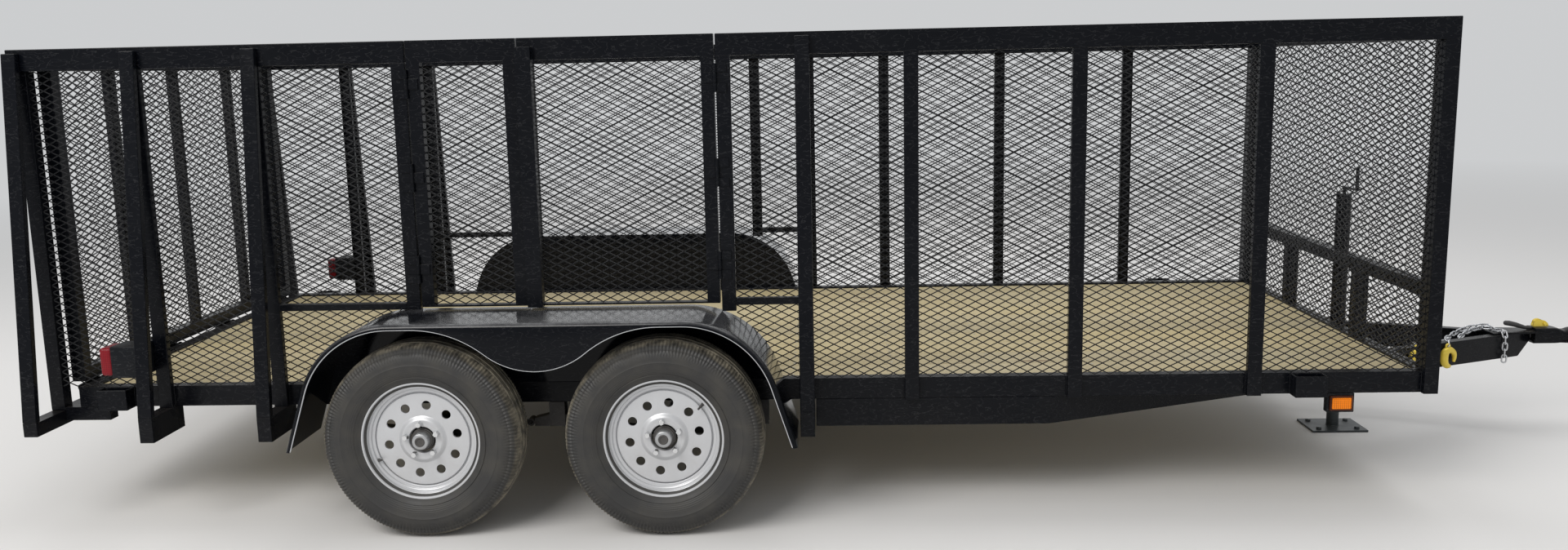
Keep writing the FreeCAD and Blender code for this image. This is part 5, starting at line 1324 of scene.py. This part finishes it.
class TRAILER_OT_coupler(bpy.types.Operator):
    """Coupler plate, ball housing, lever and latch"""

    bl_idname = "trailer.coupler"
    bl_label = "Coupler"

    def coupler_body(self, low, high):
        """The plate over the channels and the ball housing on it."""
        narrow, front, nose = 0.040, high.x - 0.200, high.x
        wide = inner_outer(low, high)[1] - 0.018
        plate = [(low.x, -wide), (front, -narrow), (front, narrow), (low.x, wide)]
        work = bmesh.new()
        add_prism(work, plate, 2, TONGUE_TOP, TONGUE_TOP + COUPLER_PLATE)
        bmesh.ops.bevel(work, geom=list(work.edges), offset=0.0015, segments=2, affect="EDGES")
        add_loft(work, [(nose - back, *rest) for back, *rest in HOUSING])
        add_prism(work, [(nose - back, z) for back, z in LOWER_EDGE], 1, -LOWER_HALF, LOWER_HALF)
        return work

    def latch_cam(self):
        """The latch with the heads of its pin."""
        side_gap, pin_on, pin_up, pin_y = 0.010, 0.016, 0.012, 0.0105
        low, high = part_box("coupler_latch")
        span = high - low
        outline = [(low.x + span.x * length_share + on, low.z + span.z * height_share + up)
                   for length_share, on, height_share, up in LATCH]
        work = bmesh.new()
        add_prism(work, outline, 1, low.y + side_gap, high.y - side_gap)
        bmesh.ops.bevel(work, geom=list(work.edges), offset=0.0022, segments=2, affect="EDGES")
        for sign in (-1, 1):
            spot = (halfway(low.x, high.x) + pin_on, pin_y * sign, low.z + pin_up)
            add_hexagon(work, spot, (0, sign, 0), 0.0075, 0.007)
        return work

    def execute(self, context):
        low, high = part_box("coupler")
        put_piece("coupler_body", self.coupler_body(low, high), "black paint", "chassis",
                  ["coupler"], smooth_angle=40)
        plate_top = TONGUE_TOP + COUPLER_PLATE
        work = bmesh.new()
        add_tube(work, [(high.x - back, 0, plate_top + up) for back, up, _radius in LEVER],
                 lambda index: LEVER[index][2], sides=14)
        put_piece("coupler_lever_grip", work, "cap rubber", "chassis",
                  smooth_angle=50)
        put_piece("coupler_latch_cam", self.latch_cam(), "yellow zinc", "chassis",
                  ["coupler_latch"], smooth_angle=40)
        return {"FINISHED"}


# Chain link and hook, in metres: wire radius, link pitch, half length and half width.
LINK_WIRE, LINK_PITCH, LINK_HALF_LONG, LINK_HALF_WIDE = 0.0033, 0.0262, 0.0167, 0.0085
# Clevis hook from its tip round to its eye: along, up and bar radius in millimetres.
HOOK = ((35, -22, 6.0), (38, -6, 8.5), (35, 12, 10.5), (22, 25, 12.5), (3, 31, 14.0),
        (-14, 22, 15.5), (-19, 1, 16.0), (-15, -20, 15.0), (-2, -34, 12.5), (14, -38, 8.0))
# The two hooks on the near channel: station and height.
HOOK_PLACES = ((2.355, 0.350), (2.196, 0.362))
TONGUE_SLOPE = math.radians(24)


def link_loop(middle, along, across, half_long, half_wide, steps=10):
    """Centre line of a chain link round its middle."""
    along, across = Vector(along).normalized(), Vector(across).normalized()
    straight = half_long - half_wide
    points = []
    for end, start in ((1, 0.0), (-1, math.pi)):
        for step in range(steps + 1):
            turn = start + math.pi * step / steps
            points.append(Vector(middle) + along * (straight * end + half_wide * math.sin(turn))
                          + across * half_wide * math.cos(turn))
    return points


def smooth_line(points, steps):
    """Points on a smooth curve through the given ones (Catmull-Rom)."""
    points = [Vector(point) for point in points]
    padded = [points[0] * 2 - points[1]] + points + [points[-1] * 2 - points[-2]]
    line = []
    for index in range(1, len(padded) - 2):
        a, b, c, d = padded[index - 1:index + 3]
        for step in range(steps):
            t = step / steps
            line.append((b * 2 + (c - a) * t + (a * 2 - b * 5 + c * 4 - d) * t * t
                         + (b * 3 - a - c * 3 + d) * t ** 3) / 2)
    return line + [points[-1]]


def chain_along(work, points):
    """Chain links along a smooth line, each turned a quarter from the one before."""
    # Shares of a link's two ways across: it leans a little off level or upright.
    flat, steep = 0.92, 0.39
    line = smooth_line(points, 8)
    travelled = [0.0]
    for first, second in zip(line, line[1:]):
        travelled.append(travelled[-1] + (second - first).length)
    for number in range(int(travelled[-1] / LINK_PITCH)):
        want = (number + 0.5) * LINK_PITCH
        index = next(i for i in range(1, len(line)) if travelled[i] >= want)
        part = (want - travelled[index - 1]) / (travelled[index] - travelled[index - 1])
        middle = line[index - 1].lerp(line[index], part)
        heading = (line[index] - line[index - 1]).normalized()
        level = heading.cross(Vector((0, 0, 1)))
        level = level.normalized() if level.length > 0.3 else Vector((1, 0, 0))
        other = heading.cross(level)
        across = level * flat + other * steep if number % 2 else other * flat - level * steep
        loop = link_loop(middle, heading, across, LINK_HALF_LONG, LINK_HALF_WIDE)
        add_tube(work, loop, LINK_WIRE, closed=True, sides=8)


class TRAILER_OT_chains(bpy.types.Operator):
    """Safety chains over the coupler plate, with their hooks"""

    bl_idname = "trailer.chains"
    bl_label = "Safety chains"

    def add_hook(self, work, middle, along):
        """A clevis hook and the ring of its eye."""
        line = smooth_line(HOOK, 4)
        bar = [middle + along * (point.x / 1000) + Vector((0, 0, point.y / 1000))
               for point in line]
        add_tube(work, bar, lambda index: line[index].z / 1000, sides=12)
        eye = middle + along * -0.002 + Vector((0, 0, 0.046))
        add_tube(work, link_loop(eye, along, (0, 0, 1), 0.0100, 0.0096, 8), 0.0042, closed=True,
                 sides=10)

    def execute(self, context):
        along = Vector((math.cos(TONGUE_SLOPE), math.sin(TONGUE_SLOPE), 0))
        out = Vector((math.sin(TONGUE_SLOPE), -math.cos(TONGUE_SLOPE), 0))
        reach = max(out.dot(vert.co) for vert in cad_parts["tongue_right"].data.vertices)

        def web(x, off, z):
            """A point off the near channel's outer face, at a station and a height."""
            y = (math.sin(TONGUE_SLOPE) * x - reach) / math.cos(TONGUE_SLOPE)
            return Vector((x, y, z)) + out * off

        top = TONGUE_TOP
        plate = top + COUPLER_PLATE + LINK_WIRE * 1.6
        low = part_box("safety_chains")[0].z + 0.035
        drop_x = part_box("coupler")[1].x - 0.384
        edge = abs(web(drop_x, 0, 0).y) + 0.013
        eyes = [web(x, 0.012, z + 0.047) for x, z in HOOK_PLACES]
        over = [web(x + 0.03, -0.020, top + COUPLER_PLATE) for x, _height in HOOK_PLACES]
        work = bmesh.new()
        chain_along(work, [
            eyes[0], over[0], (2.430, -0.110, top - 0.040), (2.505, -0.030, top - 0.004),
            (2.585, 0.022, top + 0.010), (drop_x - 0.022, 0.020, plate),
            (drop_x - 0.006, -0.028, plate), (drop_x, -edge + 0.012, plate),
            (drop_x + 0.002, -edge, top - 0.012), (drop_x + 0.003, -edge, top - 0.060),
            (drop_x + 0.003, -edge, low)])
        chain_along(work, [
            eyes[1], over[1], (2.340, -0.130, top - 0.050), (2.470, 0.010, top - 0.020),
            (2.56, 0.060, top + 0.004), (drop_x - 0.030, 0.066, plate),
            (drop_x, edge - 0.012, plate), (drop_x + 0.002, edge, top - 0.012),
            (drop_x + 0.003, edge, low)])
        put_piece("chain_links", work, "bright zinc", "chassis",
                  ["safety_chains"], smooth_angle=60)
        work = bmesh.new()
        for x, z in HOOK_PLACES:
            self.add_hook(work, web(x, 0.0135, z), along)
        put_piece("chain_hooks", work, "yellow zinc", "chassis", smooth_angle=60)
        return {"FINISHED"}


# ---- Jack and lamps ----


class TRAILER_OT_jack(bpy.types.Operator):
    """Jack paint, the foot's bolts and the weld round the leg"""

    bl_idname = "trailer.jack"
    bl_label = "Jack"

    def execute(self, context):
        dress_node("jack_tube", "black paint")
        dress_node("jack_leg", "jack grey")
        leg, bead, foot_plate = 0.0255, 0.0028, 0.0078
        low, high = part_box("jack_leg")
        x, top = halfway(low.x, high.x), low.z + foot_plate
        work = bmesh.new()
        for away in (-0.080, 0.080):
            for across in (-0.062, 0.062):
                add_hexagon(work, (x + away, across, top), (0, 0, 1), 0.011, 0.008)
        seam = [(x + leg * math.cos(turn), leg * math.sin(turn), top) for turn in full_turn(72)]
        add_tube(work, seam, lambda index: bead * (0.84 + 0.16 * (index % 2)), closed=True,
                 sides=6)
        put_piece("jack_foot_fixings", work, "jack grey", "jack_inner",
                  smooth_angle=60)
        return {"FINISHED"}


class TRAILER_OT_lamps(bpy.types.Operator):
    """Tail lamps and marker lamps"""

    bl_idname = "trailer.lamps"
    bl_label = "Lamps"

    def execute(self, context):
        lip, rim, raised = 0.012, 0.0065, 0.004
        tails = solid_boxes("tail_lenses")
        cases, reds, ambers, rims = (bmesh.new() for _piece in range(4))
        for low, high in solid_boxes("lamp_housings"):
            # A case that holds a tail lens begins behind the lens's lip.
            held = any(abs(low.x - lens_high.x) < 0.002 and abs(low.y - lens_low.y) < 0.05
                       for lens_low, lens_high in tails)
            rounded_box(cases, (low.x + (lip if held else 0), low.y, low.z), high, 0.004)
        for low, high in tails:
            rounded_box(reds, low, (high.x + lip, high.y, high.z), 0.011, 5)
        for low, high in solid_boxes("marker_lenses"):
            back, face = sorted((low.y, high.y), key=abs)
            near, far = sorted((back, face - math.copysign(raised, face)))
            rounded_box(rims, (low.x, near, low.z), (high.x, far, high.z), 0.003)
            rounded_box(ambers, (low.x + rim, low.y, low.z + rim),
                        (high.x - rim, high.y, high.z - rim), 0.0045, 4)
        for name, work, material, slot, nodes, smooth_angle in (
                ("lamp_cases", cases, "lamp housing", "black_plastic", ["lamp_housings"], 35),
                ("tail_lamp_lenses", reds, "red lens", "red_lens", ["tail_lenses"], 50),
                ("marker_lamp_lenses", ambers, "amber lens", "amber_lens", ["marker_lenses"], 50),
                ("marker_lamp_rims", rims, "amber rim", "amber_lens", (), 50)):
            put_piece(name, work, material, "chassis", nodes, smooth_angle=smooth_angle)
        return {"FINISHED"}


# ---- Camera, soft lamps and floor ----


# Soft lamps: name, place, target, size, share of the key lamp's power, colour.
SOFT_LAMPS = (
    ("key lamp", (-4.5, -6.5, 6.5), (0, 0, 0.7), (6.0, 4.0), 1.0, (1.0, 0.98, 0.95)),
    ("top lamp", (1.0, 1.5, 7.5), (0, 0, 0.5), (8.0, 4.0), 0.5, (1.0, 1.0, 1.0)),
)


def area_lamp(name, place, target, size, power, tint):
    """A soft rectangular lamp that shines from its place to its target."""
    lamp = bpy.data.lights.new(name, "AREA")
    lamp.shape = "RECTANGLE"
    lamp.size, lamp.size_y = size
    lamp.energy = power
    lamp.color = tint
    item = in_scene(name, lamp)
    item.location = place
    item.rotation_euler = (Vector(target) - item.location).to_track_quat("-Z", "Y").to_euler()


class TRAILER_OT_stage(bpy.types.Operator):
    """Camera at the photograph's place, soft lamps, and a floor that fades into the sky's colour"""

    bl_idname = "trailer.stage"
    bl_label = "Stage"

    def add_camera(self, stage):
        """The camera, turned by its pitch, yaw and roll."""
        data = bpy.data.cameras.new("camera")
        data.lens = stage.lens
        data.sensor_width = 36.0
        data.shift_x = stage.shift_x
        data.shift_y = stage.shift_y
        data.clip_end = 200.0
        camera = in_scene("camera", data)
        level_right = Vector((math.cos(stage.yaw), math.sin(stage.yaw), 0))
        level_ahead = Vector((-math.sin(stage.yaw), math.cos(stage.yaw), 0))
        ahead = level_ahead * math.cos(stage.pitch) + Vector((0, 0, math.sin(stage.pitch)))
        over = -level_ahead * math.sin(stage.pitch) + Vector((0, 0, math.cos(stage.pitch)))
        right = level_right * math.cos(stage.roll) + over * math.sin(stage.roll)
        up = -level_right * math.sin(stage.roll) + over * math.cos(stage.roll)
        turn = Matrix((right, up, -ahead)).transposed().to_4x4()
        camera.matrix_world = Matrix.Translation(stage.camera_place) @ turn
        bpy.context.scene.camera = camera

    def add_floor(self, stage):
        """A round floor that fades into the sky's colour far out, clear when seen from below."""
        reach, level = stage.floor_reach, CAD_LOW.z - 0.001
        work = bmesh.new()
        work.faces.new(add_ring(work, [
            (reach * math.cos(turn), reach * math.sin(turn), level) for turn in full_turn(96)]))
        mesh = bpy.data.meshes.new("floor")
        work.to_mesh(mesh)
        work.free()
        tree, shader = new_material("floor")
        mesh.materials.append(MATERIALS["floor"])
        feed(tree, shader, {
            "Base Color": opaque(stage.floor), "Roughness": 0.9, "Specular IOR Level": 0.1})
        away = add_node(tree, "ShaderNodeVectorMath", {0: object_place(tree)},
                        operation="LENGTH").outputs["Value"]
        sky = add_node(tree, "ShaderNodeEmission", {
            "Color": opaque(stage.sky), "Strength": stage.sky_level}).outputs[0]
        fade = spread(tree, away, stage.fade_from, stage.fade_to)
        faded = add_node(tree, "ShaderNodeMixShader", {0: fade, 1: shader.outputs[0], 2: sky})
        behind = add_node(tree, "ShaderNodeNewGeometry").outputs["Backfacing"]
        clear = add_node(tree, "ShaderNodeBsdfTransparent").outputs[0]
        seen = add_node(tree, "ShaderNodeMixShader", {0: behind, 1: faded.outputs[0], 2: clear})
        feed(tree, tree.nodes["Material Output"], {"Surface": seen.outputs[0]})
        in_scene("floor", mesh)

    def execute(self, context):
        stage = context.scene.trailer_stage
        self.add_camera(stage)
        self.add_floor(stage)
        world = bpy.data.worlds.new("even light")
        world.use_nodes = True
        feed(world.node_tree, world.node_tree.nodes["Background"], {
            "Color": opaque(stage.sky), "Strength": stage.sky_level})
        context.scene.world = world
        for name, place, target, size, share, tint in SOFT_LAMPS:
            area_lamp(name, place, target, size, stage.key_power * share, tint)
        context.scene.view_settings.view_transform = "Standard"
        return {"FINISHED"}


# ---- Panel, registration and run ----


OPERATORS = (
    TRAILER_OT_frame, TRAILER_OT_deck, TRAILER_OT_mesh_walls, TRAILER_OT_tyres,
    TRAILER_OT_wheels, TRAILER_OT_fenders, TRAILER_OT_welds, TRAILER_OT_springs,
    TRAILER_OT_coupler, TRAILER_OT_chains, TRAILER_OT_jack, TRAILER_OT_lamps, TRAILER_OT_stage,
)


class TRAILER_PT_panel(bpy.types.Panel):
    """The trailer's pieces, in the order in which they are made"""

    bl_idname = "TRAILER_PT_panel"
    bl_label = "Utility Trailer"
    bl_space_type = "VIEW_3D"
    bl_region_type = "UI"
    bl_category = "Trailer"

    def draw(self, context):
        for operator in OPERATORS:
            self.layout.operator(operator.bl_idname)


SETTINGS = (
    ("trailer_finish", TrailerFinish), ("trailer_metal", TrailerMetal),
    ("trailer_tyre", TrailerTyre), ("trailer_wheel", TrailerWheel),
    ("trailer_stage", TrailerStage),
)


def register():
    """Register the settings, the operators and the panel."""
    for name, group in SETTINGS:
        bpy.utils.register_class(group)
        setattr(bpy.types.Scene, name, PointerProperty(type=group))
    for item in OPERATORS + (TRAILER_PT_panel,):
        bpy.utils.register_class(item)


def unregister():
    """Take back what register did."""
    for item in reversed(OPERATORS + (TRAILER_PT_panel,)):
        bpy.utils.unregister_class(item)
    for name, group in reversed(SETTINGS):
        delattr(bpy.types.Scene, name)
        bpy.utils.unregister_class(group)


def main():
    """Make every piece and the stage."""
    register()
    for operator in OPERATORS:
        group, name = operator.bl_idname.split(".")
        if getattr(getattr(bpy.ops, group), name)() != {"FINISHED"}:
            raise RuntimeError(f"{operator.bl_label} did not finish")


if __name__ == "__main__":
    main()
